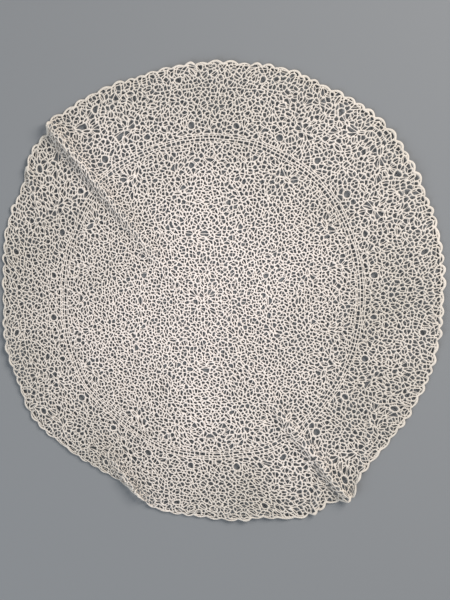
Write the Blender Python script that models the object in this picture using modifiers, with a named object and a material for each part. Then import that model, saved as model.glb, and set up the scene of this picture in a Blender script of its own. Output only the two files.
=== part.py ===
"""Round lace doily, laid out nearly flat, as one sheet of cloth.

The doily is worked flat: a disc with a scalloped edge and rings of open eyes. Laid on a
surface it is not quite round any more. It is pulled out of true a little, and the creases
in which it was stored still stand up, so every point of the flat disc is carried to its
laid place by laid_point(). The flat disc is triangulated, lifted, and given its thickness
upwards, so that the underside lies on Z = 0 wherever no fold or wave raises it.

Units are metres, +Z is up, and the origin is under the middle of the laid outline.
"""
from collections import namedtuple

import bmesh
import bpy
import numpy as np
from mathutils import Vector
from mathutils.geometry import delaunay_2d_cdt

# ---------------------------------------------------------------- driving sizes
FLAT_RADIUS = 0.251          # tip of a scallop, with the doily flat and round
THICKNESS = 0.0015           # of the worked thread
SCALLOPS = 112               # around the edge
SCALLOP_DEPTH = 0.0032       # from the tip of a scallop to the notch beside it
SCALLOP_STEPS = 4            # points on each scallop
PITCH_SWELLS = ((8, 0.0090), (24, 0.0075))   # swells of the scallops' pitch: count, radians

EYE_LENGTH = 0.0092          # around the doily
EYE_WIDTH = 0.0079           # along its radius
EYE_POINTS = 10

EyeRing = namedtuple("EyeRing", "name radius count first_degrees")
EYE_RINGS = (
    EyeRing("ring_eyes", 0.1840, 24, 7.5),
    EyeRing("edge_eyes", 0.2330, 16, 11.25),
)

# ---------------------------------------------------------------- how it is laid
MIDDLE_SHIFT = (-0.0230, -0.0130)   # where the worked middle comes to lie
DRAWN_OUT = 0.030                   # the middle zone is longer along Y by this share
LEAN = 0.0030                       # the outline is longer by this along LEAN_TURN
LEAN_TURN = 115.0
BACKWARD_STEPS = 30                 # from plan back to flat, each step comes closer

# the edge pushed out (+) or in (-) of true, each within a reach to both sides
EdgePush = namedtuple("EdgePush", "name degrees push reach_degrees")
EDGE_PUSHES = (
    EdgePush("right_side_in", 352.0, -0.0060, 30.0),
    EdgePush("upper_right_out", 47.0, 0.0080, 24.0),
    EdgePush("top_right_out", 73.0, 0.0040, 12.0),
    EdgePush("upper_left_out", 125.0, 0.0060, 15.0),
    EdgePush("crease_end_out", 142.0, 0.0090, 14.0),
    EdgePush("left_side_in", 179.0, -0.0060, 18.0),
    EdgePush("lower_left_out", 213.0, 0.0045, 10.0),
    EdgePush("lower_left_pressed_in", 238.0, -0.0085, 21.0),
    EdgePush("bottom_in", 262.0, -0.0040, 12.0),
    EdgePush("lower_right_lobe", 290.0, 0.0120, 12.0),
    EdgePush("lower_right_corner", 301.5, 0.0150, 6.5),
    EdgePush("right_corner_in", 324.0, -0.0050, 18.0),
)

# Creases that stand up. Each runs from a place at the edge to an inner end, where it fades
# out. The cloth beside it is drawn in towards it, and the cloth on its left hand, looking
# inwards, has slid outwards along it.
Crease = namedtuple("Crease", "name edge inner height half_width draw_in slide")
CREASES = (
    Crease("long_crease_upper", (-0.197, 0.190), (-0.010, -0.045), 0.0120, 0.0130, 0.0062, 0.0110),
    Crease("long_crease_lower", (0.137, -0.232), (-0.006, -0.050), 0.0085, 0.0115, 0.0040, 0.0000),
    Crease("left_tuck", (-0.221, 0.146), (-0.193, 0.058), 0.0048, 0.0070, 0.0030, 0.0010),
    Crease("lower_left_pleat", (-0.094, -0.224), (-0.146, -0.152), 0.0070, 0.0090, 0.0045, -0.0050),
    Crease("lower_right_pleat", (0.096, -0.245), (0.120, -0.128), 0.0046, 0.0075, 0.0022, -0.0020),
    Crease("corner_crease", (0.150, -0.214), (0.170, -0.106), 0.0060, 0.0090, 0.0030, 0.0000),
)
CREST_ROUND = 0.10           # rounding of a crest, as a share of its half width
SLOPE_HOLLOW = 1.6           # how hollow a crease's slopes are: 1 is straight
FADE_HOLLOW = 1.4            # how soon a crease gets lower along its run: 1 is evenly
DRAW_CORE = 0.80             # the cloth is drawn in most within this share of a half width
DRAW_REACH = 0.060           # how far from a crease the cloth is drawn in
SLIDE_CORE = 0.50            # the slide starts within this share of a half width
SLIDE_REACH = 0.040          # how far from a crease the cloth has slid along it

# low waves at the edge, each within a reach to both sides and a depth inwards
EdgeWave = namedtuple("EdgeWave", "name degrees lift reach_degrees depth")
EDGE_WAVES = (
    EdgeWave("top_wave", 97.0, 0.0030, 16.0, 0.040),
    EdgeWave("upper_right_wave", 33.0, 0.0026, 14.0, 0.036),
    EdgeWave("right_wave", 352.0, 0.0030, 13.0, 0.040),
    EdgeWave("bottom_wave", 277.0, 0.0034, 12.0, 0.042),
    EdgeWave("left_wave", 196.0, 0.0028, 13.0, 0.038),
)

# ---------------------------------------------------------------- spacing of mesh points
CREST_STEP = 0.0070          # along a crease
CREASE_ROWS = (0.0, -0.28, 0.28, -0.62, 0.62, -1.0, 1.0)   # across it, in half widths
ROWS_START_OUT = 2           # steps that a row starts outside the edge
ROW_MARGIN = 0.0055          # rows of creases end this far inside the scallop tips
ROW_CLEAR = 0.0029           # points of creases keep this far from all others
HEADING_RINGS = (0.0085, 0.0190, 0.0310)   # rings of loose points, from the scallop tips in
FILL_STEP = 0.0170           # between loose points in the open cloth
FILL_CLEAR = 0.0085          # loose points keep this far from all others

INSIDE_EDGES = 1             # delaunay_2d_cdt's way to keep what lies within the outline
MERGE = 1e-7                 # flat points nearer than this are one point

THREAD_COLOUR = (0.74, 0.665, 0.575, 1.0)
THREAD_ROUGHNESS = 0.85


# ---------------------------------------------------------------- the flat disc
def polar(points):
    """Radius and direction in degrees of an (n, 2) array of points."""
    return np.hypot(points[:, 0], points[:, 1]), np.degrees(np.arctan2(points[:, 1], points[:, 0]))


def ray(radius, degrees):
    """Points at a radius and a direction, as an (n, 2) array."""
    angle = np.radians(degrees)
    return np.stack([radius * np.cos(angle), radius * np.sin(angle)], axis=-1)


def scallop_directions():
    """Directions in degrees of the scalloped edge's points, SCALLOP_STEPS to a scallop.

    The scallops are alike but not equal: their pitch swells and shrinks around the edge.
    """
    turn = np.arange(SCALLOPS * SCALLOP_STEPS) / (SCALLOPS * SCALLOP_STEPS)
    angle = even = 2 * np.pi * turn
    for count, swell in PITCH_SWELLS:
        angle = angle + swell * np.sin(count * even)
    return np.degrees(angle)


def edge_loop():
    """The flat outline: arcs of SCALLOP_DEPTH between sharp notches."""
    step = np.arange(SCALLOPS * SCALLOP_STEPS) % SCALLOP_STEPS
    across = 2.0 * step / SCALLOP_STEPS - 1.0
    return ray(FLAT_RADIUS - SCALLOP_DEPTH * across ** 2, scallop_directions())


def eye_centres():
    """Middle of every eye in the flat disc."""
    rings = [ray(ring.radius, ring.first_degrees + np.arange(ring.count) * 360.0 / ring.count)
             for ring in EYE_RINGS]
    return np.concatenate(rings)


def eye_loop(centre):
    """One eye: an oval, longer around the doily than along its radius."""
    outward = centre / np.linalg.norm(centre)
    around = np.array((-outward[1], outward[0]))
    angle = 2 * np.pi * (np.arange(EYE_POINTS) + 0.5) / EYE_POINTS
    across = np.outer(np.cos(angle), around) * EYE_LENGTH / 2
    return centre + across + np.outer(np.sin(angle), outward) * EYE_WIDTH / 2


# ---------------------------------------------------------------- from flat to laid
def bump(distance, reach):
    """1 in the middle, falling smoothly to 0 at reach and exactly 0 past it."""
    share = np.clip(1 - (distance / reach) ** 2, 0, 1)
    return share ** 2


def angle_between(degrees, other):
    """Signed difference of two directions, from -180 to 180."""
    return (degrees - other + 180.0) % 360.0 - 180.0


def laid_edge_radius(degrees):
    """Distance from the middle of the laid doily to the tips of its scallops."""
    radius = FLAT_RADIUS + LEAN * np.cos(np.radians(2 * (degrees - LEAN_TURN)))
    for edge in EDGE_PUSHES:
        radius = radius + edge.push * bump(angle_between(degrees, edge.degrees), edge.reach_degrees)
    return radius


def spread_out(flat):
    """Flat disc to its uneven laid plan, before any crease is raised."""
    radius, degrees = polar(flat)
    share = radius / FLAT_RADIUS
    stretch = 1 + (laid_edge_radius(degrees) / FLAT_RADIUS - 1) * share ** 2
    stretch = stretch - DRAWN_OUT * np.cos(np.radians(2 * degrees)) * 4 * share * (1 - share)
    shift = np.outer(np.clip(1 - share ** 2, 0, None), MIDDLE_SHIFT)
    return shift + flat * stretch[:, None]


def flat_under(plan):
    """The flat points that spread_out() carries to the given plan points."""
    flat = np.array(plan, dtype=float)
    for _ in range(BACKWARD_STEPS):
        flat = flat - (spread_out(flat) - plan)
    return flat


def crease_frame(crease):
    """Start, unit direction inwards, unit direction across, and length of a crease."""
    start = np.array(crease.edge)
    run = np.array(crease.inner) - start
    length = np.linalg.norm(run)
    along = run / length
    return start, along, np.array((-along[1], along[0])), length


def crease_effect(plan, crease):
    """Height and sideways move that one crease gives to plan points.

    Height falls from the crest to nothing at the half width, and along the run to nothing at
    the inner end. The move has a part across the crease, towards it, and a part along it.
    """
    start, along, across, length = crease_frame(crease)
    run = (plan - start) @ along / length
    side = (plan - start) @ across
    strength = (1 - np.clip(run, 0, 1)) ** FADE_HOLLOW
    from_crest = np.hypot(side / crease.half_width, CREST_ROUND) - CREST_ROUND
    lift = crease.height * strength * np.clip(1 - from_crest, 0, 1) ** SLOPE_HOLLOW
    towards = np.tanh(side / (DRAW_CORE * crease.half_width)) * np.exp(-(side / DRAW_REACH) ** 2)
    inwards = -crease.draw_in * strength * towards
    one_side = 0.5 + 0.5 * np.tanh(side / (SLIDE_CORE * crease.half_width))
    outwards = -crease.slide * strength * one_side * np.exp(-np.abs(side) / SLIDE_REACH)
    return lift, np.outer(inwards, across) + np.outer(outwards, along)


def wave_lift(flat):
    """Height of the low waves at the edge."""
    radius, degrees = polar(flat)
    lift = np.zeros(len(flat))
    for wave in EDGE_WAVES:
        rise = np.clip((radius - (FLAT_RADIUS - wave.depth)) / wave.depth, 0, 1) ** 2
        lift += wave.lift * rise * bump(angle_between(degrees, wave.degrees), wave.reach_degrees)
    return lift


def laid_point(flat):
    """Flat points of the doily to the underside of the laid doily, as (n, 3)."""
    plan = spread_out(flat)
    moved = plan.copy()
    height = wave_lift(flat)
    for crease in CREASES:
        lift, move = crease_effect(plan, crease)
        height = height + lift
        moved = moved + move
    return np.column_stack([moved, height])


# ---------------------------------------------------------------- points and edges of the mesh
def far_from(points, others, distance):
    """Those points that keep the distance from all the others."""
    gaps = np.linalg.norm(points[:, None, :] - others[None, :, :], axis=2).min(axis=1)
    return points[gaps > distance]


def crease_rows(taken):
    """Rows of flat points along the crest, slopes and feet of every crease.

    The rows start a little outside the edge, and only the points on the cloth are kept.
    """
    rows = []
    for crease in CREASES:
        start, along, across, length = crease_frame(crease)
        steps = np.arange(-ROWS_START_OUT, length / CREST_STEP) * CREST_STEP
        for share in CREASE_ROWS:
            plan = start + np.outer(steps, along) + share * crease.half_width * across
            row = flat_under(plan)
            inside = np.hypot(row[:, 0], row[:, 1]) < FLAT_RADIUS - ROW_MARGIN
            row = far_from(row[inside], taken, ROW_CLEAR)
            rows.append(row)
            taken = np.concatenate([taken, row])
    return np.concatenate(rows)


def fill_points(taken):
    """Loose flat points on a triangular grid, clear of the points already taken."""
    row_step = FILL_STEP * np.sqrt(0.75)
    rows = int(FLAT_RADIUS / row_step) + 1
    column, row = np.meshgrid(np.arange(-rows, rows + 1), np.arange(-rows, rows + 1))
    grid = np.stack([(column + 0.5 * (row % 2)) * FILL_STEP, row * row_step], axis=-1)
    grid = grid.reshape(-1, 2)
    inside = np.hypot(grid[:, 0], grid[:, 1]) < FLAT_RADIUS - HEADING_RINGS[-1]
    return far_from(grid[inside], taken, FILL_CLEAR)


def flat_triangles():
    """Points and triangles of the flat disc, with the eyes left open."""
    loops = [edge_loop()] + [eye_loop(centre) for centre in eye_centres()]
    edges = []
    loop_of = []
    for number, loop in enumerate(loops):
        first = len(loop_of)
        count = len(loop)
        edges += [(first + i, first + (i + 1) % count) for i in range(count)]
        loop_of += [number] * count
    points = np.concatenate(loops)
    points = np.concatenate([points, crease_rows(points)])
    for width in HEADING_RINGS:
        ring = ray(FLAT_RADIUS - width, scallop_directions()[::SCALLOP_STEPS])
        points = np.concatenate([points, far_from(ring, points, 2 * ROW_CLEAR)])
    points = np.concatenate([points, fill_points(points)])
    result = delaunay_2d_cdt([Vector(point) for point in points], edges, [], INSIDE_EDGES, MERGE)
    vertices = np.array([tuple(vertex) for vertex in result[0]])
    triangles = np.array([tuple(face) for face in result[2]])
    loop_of = np.array(loop_of + [-1] * (len(vertices) - len(loop_of)))
    corners = loop_of[triangles]
    in_eye = (corners[:, 0] > 0) & (corners[:, 0] == corners[:, 1]) & (corners[:, 0] == corners[:, 2])
    return vertices, triangles[~in_eye].tolist()


# ---------------------------------------------------------------- the object
def thread_material():
    """Ivory cotton thread."""
    material = bpy.data.materials.new("ivory_thread")
    material.use_nodes = True
    shader = material.node_tree.nodes["Principled BSDF"]
    shader.inputs["Base Color"].default_value = THREAD_COLOUR
    shader.inputs["Roughness"].default_value = THREAD_ROUGHNESS
    shader.inputs["Metallic"].default_value = 0.0
    material.diffuse_color = THREAD_COLOUR
    return material


def make_doily(collection):
    """The laid sheet: its underside as a mesh, thickened upwards."""
    flat, triangles = flat_triangles()
    laid = laid_point(flat)
    laid[:, :2] -= (laid[:, :2].min(axis=0) + laid[:, :2].max(axis=0)) / 2
    mesh = bpy.data.meshes.new("lace_doily")
    mesh.from_pydata(laid.tolist(), [], triangles)
    sheet = bmesh.new()
    sheet.from_mesh(mesh)
    lonely = [vertex for vertex in sheet.verts if not vertex.link_faces]
    bmesh.ops.delete(sheet, geom=lonely, context="VERTS")
    for face in sheet.faces:
        if face.normal.z < 0:
            face.normal_flip()
    sheet.to_mesh(mesh)
    sheet.free()
    doily = bpy.data.objects.new("lace_doily", mesh)
    collection.objects.link(doily)
    mesh.materials.append(thread_material())
    solid = doily.modifiers.new("thickness", "SOLIDIFY")
    solid.thickness = THICKNESS
    solid.offset = 1.0
    solid.use_even_offset = True
    solid.use_rim = True
    return doily


def main():
    for old in list(bpy.data.objects):
        bpy.data.objects.remove(old, do_unlink=True)
    collection = bpy.data.collections.new("lace_doily")
    bpy.context.scene.collection.children.link(collection)
    make_doily(collection)


main()
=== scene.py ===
# %% [markdown]
# # A round lace doily, dressed over its plain part
# The real doily is one round net of ivory cotton thread. Thin cords run round thousands of small cells,
# a braid circles it two thirds of the way out, and a thick scalloped cord binds the edge.
# It was folded for a long time, so two long creases and a few small ones still stand up when it lies flat.
# The imported part holds the round sheet, its folds and its largest eyes. This script knots the net over it.
# A net could be a see-through pattern on a plain sheet. Real cords are chosen, because openwork shows its
# thickness, its shadows and the floor through every cell.
# We load the part first.

from collections import namedtuple

import bpy
import numpy as np
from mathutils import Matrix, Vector
from mathutils.geometry import delaunay_2d_cdt


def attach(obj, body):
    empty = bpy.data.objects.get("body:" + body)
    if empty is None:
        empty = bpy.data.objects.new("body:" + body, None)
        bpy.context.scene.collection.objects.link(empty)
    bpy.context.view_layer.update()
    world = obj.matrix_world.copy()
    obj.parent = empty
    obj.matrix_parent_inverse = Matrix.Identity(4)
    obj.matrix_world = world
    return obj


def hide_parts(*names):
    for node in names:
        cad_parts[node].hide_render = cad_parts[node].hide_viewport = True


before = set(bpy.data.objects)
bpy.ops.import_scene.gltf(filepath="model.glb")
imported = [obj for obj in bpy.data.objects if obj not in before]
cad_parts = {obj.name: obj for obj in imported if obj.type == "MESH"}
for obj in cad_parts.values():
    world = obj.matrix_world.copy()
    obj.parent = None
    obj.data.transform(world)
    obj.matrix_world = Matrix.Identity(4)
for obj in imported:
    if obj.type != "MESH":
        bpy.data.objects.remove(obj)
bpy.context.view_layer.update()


def in_mm(metres, digits=1):
    """Lengths in millimetres, rounded for printing."""
    return np.round(1000 * np.asarray(metres, float), digits)


def in_square_mm(area):
    """An area in square millimetres, rounded for printing."""
    return round(1e6 * float(area), 1)


# %% [markdown]
# ## The sizes it was made to
# A doily is made flat and round, so every cell of the net is worked out on the flat round first.
# These are the maker's sizes of the part: the round's radius, the thread sheet's thickness
# and the scallops of its edge. They could be measured on the part's mesh, but the numbers that it was made
# from are exact and easy to read.

# %% Sizes of the flat doily
FLAT_RADIUS = 0.251
THICKNESS = 0.0015
SCALLOPS = 112
SCALLOP_DEPTH = 0.0032
SCALLOP_END_PULL = 0.25
PITCH_SWELLS = ((8, 0.0090), (24, 0.0075))
SCALLOP_SEED = 5
UNEVEN_SCALLOPS = (-0.34, 0.26)
BY_HAND = 1 + np.random.default_rng(SCALLOP_SEED).uniform(*UNEVEN_SCALLOPS, SCALLOPS)
print("flat doily:", in_mm(2 * FLAT_RADIUS), "mm across with", SCALLOPS, "scallops")

# %% [markdown]
# ## Distances and directions
# A round net is easiest to think of as distances from its middle and directions round it. These helpers
# turn one into the other for whole arrays of points, which is much faster than one point at a time.


# %% Directions and lengths on the flat
def polar(points):
    """Distance from the middle, and direction in degrees from the right side, of each point."""
    return np.hypot(points[:, 0], points[:, 1]), np.degrees(np.arctan2(points[:, 1], points[:, 0]))


def ray(radius, degrees):
    """The points at these distances from the middle, in these directions."""
    turn = np.radians(degrees)
    return np.stack([radius * np.cos(turn), radius * np.sin(turn)], axis=-1)


def lengths(vectors):
    """Length of each vector."""
    return np.linalg.norm(vectors, axis=-1)


def unit(vectors):
    """Each vector at length 1. A vector of no length stays as it is."""
    return vectors / np.maximum(lengths(vectors), 1e-12)[..., None]


def left_of(vectors):
    """Each flat vector turned a quarter to the left: (x, y) becomes (-y, x)."""
    return vectors[..., ::-1] * (-1, 1)


def angle_between(degrees, other):
    """The turn from one direction to another, from -180 to 180 degrees."""
    return (degrees - other + 180) % 360 - 180


print("10 mm straight up is", in_mm(ray(0.010, 90.0)))

# %% [markdown]
# ## The line of the scallops
# The edge is a row of small bows, each a little different, since it was worked by hand. They could be drawn
# one by one. A formula for the radius in any direction is chosen, because the border's outermost cells
# and the edge cord both follow it.


# %% The scalloped edge
def scallop_direction(turn):
    """Direction in degrees at a share of the way round: even steps plus two slow swells of the pitch."""
    even = 2 * np.pi * np.asarray(turn, float)
    return np.degrees(even + sum(swell * np.sin(count * even) for count, swell in PITCH_SWELLS))


TABLE_TURN = np.linspace(-0.75, 0.75, 6001)
TABLE_DIRECTION = scallop_direction(TABLE_TURN)


def scallop_edge(degrees):
    """Radius of the scalloped edge: each scallop is a parabola, pulled in a little towards its ends, where it
    meets the next one. Each was worked by hand, so it stands out a little more or less."""
    turn = np.interp(angle_between(degrees, 0), TABLE_DIRECTION, TABLE_TURN)
    across = 2 * ((turn * SCALLOPS) % 1) - 1
    proud = BY_HAND[np.floor(turn * SCALLOPS).astype(int) % SCALLOPS]
    bow = proud * (1 - across**2) * (1 - SCALLOP_END_PULL * across**6)
    return FLAT_RADIUS - SCALLOP_DEPTH * (1 - bow)


edge_radius = scallop_edge(TABLE_DIRECTION)
print("edge radius in mm, from", in_mm(edge_radius.min()), "to", in_mm(edge_radius.max()))

# %% [markdown]
# ## How it lies
# Laid down, the doily isn't quite round any more: the hand that spread it out pushed its edge in or out,
# its middle sits off centre, and the creases take up some cloth. A mapping from the flat round to the laid
# shape does all this at once, so each cell near a crease is squeezed and lifted as real cells are.
# A cloth simulation could do it too, but it wouldn't put the folds exactly where the part has them.
# The tables hold one named push, crease or wave of the edge in each row, in metres and degrees.

# %% Table of the edge's pushes
EdgePush = namedtuple("EdgePush", "name degrees push reach_degrees")
EDGE_PUSHES = [
    EdgePush("right_side_in", 352.0, -0.0060, 30.0),
    EdgePush("upper_right_out", 47.0, 0.0080, 24.0),
    EdgePush("top_right_out", 73.0, 0.0040, 12.0),
    EdgePush("upper_left_out", 125.0, 0.0060, 15.0),
    EdgePush("crease_end_out", 142.0, 0.0090, 14.0),
    EdgePush("left_side_in", 179.0, -0.0060, 18.0),
    EdgePush("lower_left_out", 213.0, 0.0045, 10.0),
    EdgePush("lower_left_pressed_in", 238.0, -0.0085, 21.0),
    EdgePush("bottom_in", 262.0, -0.0040, 12.0),
    EdgePush("lower_right_lobe", 290.0, 0.0120, 12.0),
    EdgePush("lower_right_corner", 301.5, 0.0150, 6.5),
    EdgePush("right_corner_in", 324.0, -0.0050, 18.0),
]
MIDDLE_SHIFT = (-0.0230, -0.0130)
DRAWN_OUT = 0.030
LEAN = 0.0030
LEAN_TURN = 115.0
print(len(EDGE_PUSHES), "pushes of the edge")

# %% Tables of the creases and the edge's waves
Crease = namedtuple("Crease", "name edge inner height half_width draw_in slide")
CREASES = [
    Crease("long_crease_upper", (-0.197, 0.190), (-0.010, -0.045), 0.0120, 0.0130, 0.0062, 0.0110),
    Crease("long_crease_lower", (0.137, -0.232), (-0.006, -0.050), 0.0085, 0.0115, 0.0040, 0.0000),
    Crease("left_tuck", (-0.221, 0.146), (-0.193, 0.058), 0.0048, 0.0070, 0.0030, 0.0010),
    Crease("lower_left_pleat", (-0.094, -0.224), (-0.146, -0.152), 0.0070, 0.0090, 0.0045, -0.0050),
    Crease("lower_right_pleat", (0.096, -0.245), (0.120, -0.128), 0.0046, 0.0075, 0.0022, -0.0020),
    Crease("corner_crease", (0.150, -0.214), (0.170, -0.106), 0.0060, 0.0090, 0.0030, 0.0000),
]
CREST_ROUND = 0.10
SLOPE_HOLLOW = 1.6
FADE_HOLLOW = 1.4
DRAW_CORE = 0.80
DRAW_REACH = 0.060
SLIDE_CORE = 0.50
SLIDE_REACH = 0.040
EdgeWave = namedtuple("EdgeWave", "name degrees lift reach_degrees depth")
EDGE_WAVES = [
    EdgeWave("top_wave", 97.0, 0.0030, 16.0, 0.040),
    EdgeWave("upper_right_wave", 33.0, 0.0026, 14.0, 0.036),
    EdgeWave("right_wave", 352.0, 0.0030, 13.0, 0.040),
    EdgeWave("bottom_wave", 277.0, 0.0034, 12.0, 0.042),
    EdgeWave("left_wave", 196.0, 0.0028, 13.0, 0.038),
]
print(len(CREASES), "creases, the tallest", in_mm(max(c.height for c in CREASES)), "mm")


# %% Spread the round out as it lies
def bump(distance, reach):
    """A smooth hill of height 1: the square of one minus the squared share of its reach, and 0 beyond."""
    return np.clip(1 - (distance / reach) ** 2, 0, 1) ** 2


def laid_edge_radius(degrees):
    """Radius of the laid edge: the flat radius, a slow oval, and each push as a smooth hill."""
    radius = FLAT_RADIUS + LEAN * np.cos(np.radians(2 * (degrees - LEAN_TURN)))
    pushes = [p.push * bump(angle_between(degrees, p.degrees), p.reach_degrees) for p in EDGE_PUSHES]
    return radius + sum(pushes)


def spread_out(flat):
    """Flat place to laid place: stretched towards the laid edge by the squared share of the radius,
    drawn out one way and in the other, with the middle shifted."""
    radius, degrees = polar(flat)
    share = radius / FLAT_RADIUS
    stretch = 1 + (laid_edge_radius(degrees) / FLAT_RADIUS - 1) * share**2
    stretch = stretch - DRAWN_OUT * np.cos(np.radians(2 * degrees)) * 4 * share * (1 - share)
    return np.outer(np.clip(1 - share**2, 0, None), MIDDLE_SHIFT) + flat * stretch[:, None]


print("the middle moves by", in_mm(spread_out(np.zeros((1, 2)))[0]), "mm")

# %% [markdown]
# ## Creases and waves
# Where the cloth was folded, a ridge stands up. It has a narrow crest and hollow slopes, and it fades towards
# the doily's middle. It could be sculpted on a grid of points. As a formula of the distance from the crease
# and along it, it serves every point of the net, however fine the net is.


# %% Lift and squeeze the cloth at the creases
def crease_effect(plan, crease):
    """How far a crease lifts each point, and how far it draws it in. The lift fades along the crease and
    falls off hollow from a rounded crest; the cloth at both sides is drawn towards it and slides along it."""
    start, end = np.array(crease.edge), np.array(crease.inner)
    length, along = lengths(end - start), unit(end - start)
    across = left_of(along)
    run, side = (plan - start) @ along / length, (plan - start) @ across
    strength = (1 - np.clip(run, 0, 1)) ** FADE_HOLLOW
    from_crest = np.hypot(side / crease.half_width, CREST_ROUND) - CREST_ROUND
    lift = crease.height * strength * np.clip(1 - from_crest, 0, 1) ** SLOPE_HOLLOW
    towards = np.tanh(side / (DRAW_CORE * crease.half_width)) * np.exp(-((side / DRAW_REACH) ** 2))
    one_side = 0.5 + 0.5 * np.tanh(side / (SLIDE_CORE * crease.half_width))
    outwards = -crease.slide * strength * one_side * np.exp(-np.abs(side) / SLIDE_REACH)
    return lift, np.outer(-crease.draw_in * strength * towards, across) + np.outer(outwards, along)


def wave_lift(flat):
    """Lift of the edge's soft waves: each rises with the square of the way into its band, and fades to both
    sides."""
    radius, degrees = polar(flat)
    return sum(
        w.lift * np.clip((radius - FLAT_RADIUS + w.depth) / w.depth, 0, 1) ** 2
        * bump(angle_between(degrees, w.degrees), w.reach_degrees)
        for w in EDGE_WAVES
    )


REST_LIFT = (0.0005, 0.0034)
EDGE_DROP = 0.012
EDGE_REST = 0.2


def rest_lift(flat):
    """Soft cloth doesn't lie pressed flat: it keeps half a millimetre off the floor at its middle and three
    towards its border, and comes down again near the edge."""
    radius = lengths(flat)
    low, high = REST_LIFT
    arch = low + (high - low) * np.clip(radius / FLAT_RADIUS, 0, 1) ** 2
    return arch * np.clip((FLAT_RADIUS - radius) / EDGE_DROP, EDGE_REST, 1)


def laid_point(flat):
    """Flat place to laid point: the spread-out place, moved and lifted by every crease, lifted by waves."""
    plan = spread_out(flat)
    effects = [crease_effect(plan, crease) for crease in CREASES]
    moved = plan + sum(move for _, move in effects)
    height = wave_lift(flat) + rest_lift(flat) + sum(lift for lift, _ in effects)
    return np.column_stack([moved, height])


print("the flat middle is laid at", in_mm(laid_point(np.zeros((1, 2)))[0]), "mm")

# %% [markdown]
# ## Cords on the folded sheet
# A cord stands up from the sheet also where the sheet is tilted, so its height is measured along the sheet's
# own upward direction. A mesh of the sheet could give that direction. Two short steps on the mapping give it
# more closely, and need no mesh.

# %% Lay a point of the net on the folded sheet
edge_turns = np.arange(SCALLOPS * 4) / (SCALLOPS * 4)
edge_directions = scallop_direction(edge_turns)
flat_edge = ray(scallop_edge(edge_directions), edge_directions)
laid_edge = laid_point(flat_edge)[:, :2]
CENTRE_OF_BOX = (laid_edge.min(0) + laid_edge.max(0)) / 2
STEP = 1e-4


def lay(flat, lift):
    """Point of the net = laid point of its flat place, plus its lift times the folded sheet's unit normal,
    which is the cross product of two short steps on the sheet. The box's middle becomes the origin."""
    here = laid_point(flat)
    normal = unit(np.cross(laid_point(flat + (STEP, 0)) - here, laid_point(flat + (0, STEP)) - here))
    placed = here + normal * np.asarray(lift)[:, None]
    placed[:, :2] -= CENTRE_OF_BOX
    return placed


laid_box = lay(flat_edge, np.full(len(flat_edge), THICKNESS))
print("laid edge spans in mm:", in_mm(np.ptp(laid_box, axis=0)))

# %% [markdown]
# ## The chart of one eighth
# A lace pattern like this is charted once for a small wedge, and worked eight times round, turned and
# flipped. The lace is built of closed figures: petals, leaves and buds, each with a thick outline and a few
# cells inside. They lie close together, and short links join them across narrow gaps. The chart gives the
# places of the middle flower, of a few buds and of the open eyes that the part has too. Every cell could be
# drawn by hand instead, but a short chart is easy to change and keeps the pattern in order.
# Sizes are millimetres, and a turn is measured in degrees from the middle line of a side, so that 0 and 45
# are the two lines that the wedge is flipped across. The core is how far two seed points lie from the centre,
# the lean is how far the figure points away from its turn, and the reach is how much room it keeps.

# %% Chart of the middle flower, the charted buds and the open eyes
WEDGE = 45.0
Figure = namedtuple("Figure", "name radius turn lean core reach")
CHART = [
    Figure("first_round_petal", 7.0, 45.0, 0.0, 3.4, 3.2),
    Figure("first_round_bud", 14.5, 16.0, -8.0, 2.6, 3.2),
    Figure("second_round_high", 21.5, 34.0, 0.0, 2.4, 3.8),
    Figure("second_round_low", 24.5, 9.0, 0.0, 2.4, 3.8),
    Figure("third_round_low", 32.5, 0.0, 0.0, 1.8, 4.0),
    Figure("third_round_leaf", 31.0, 22.5, 90.0, 2.2, 4.2),
    Figure("third_round_high", 32.0, 45.0, 0.0, 2.2, 4.2),
    Figure("inner_bud", 70.0, 17.0, 0.0, 0.8, 3.2),
    Figure("high_bud", 43.0, 45.0, 0.0, 0.8, 3.2),
    Figure("heart_bud", 62.0, 31.0, 0.0, 0.8, 3.2),
    Figure("outer_bud", 119.0, 0.0, 0.0, 0.8, 3.2),
]
EYES = [
    Figure("ring_eye_low", 184.0, 7.5, 0.0, 1.2, 5.0),
    Figure("ring_eye_mid", 184.0, 22.5, 0.0, 1.2, 5.0),
    Figure("ring_eye_high", 184.0, 37.5, 0.0, 1.2, 5.0),
    Figure("edge_eye_low", 233.0, 11.25, 0.0, 1.2, 5.0),
    Figure("edge_eye_high", 233.0, 33.75, 0.0, 1.2, 5.0),
]
CHARTED = CHART + EYES
print(len(CHART), "figures and", len(EYES), "eyes charted by hand")

# %% [markdown]
# ## Thinning scattered places
# The rest of the wedge is filled with flowers of five to eight petals, and with leaves round them. We scatter
# many places from a fixed seed and keep a place only when it has room.
# A loop could try one place after another. This way works on whole arrays and gives the same, only faster:
# in each round, every place with no earlier rival stands, and its rivals fall.


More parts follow.
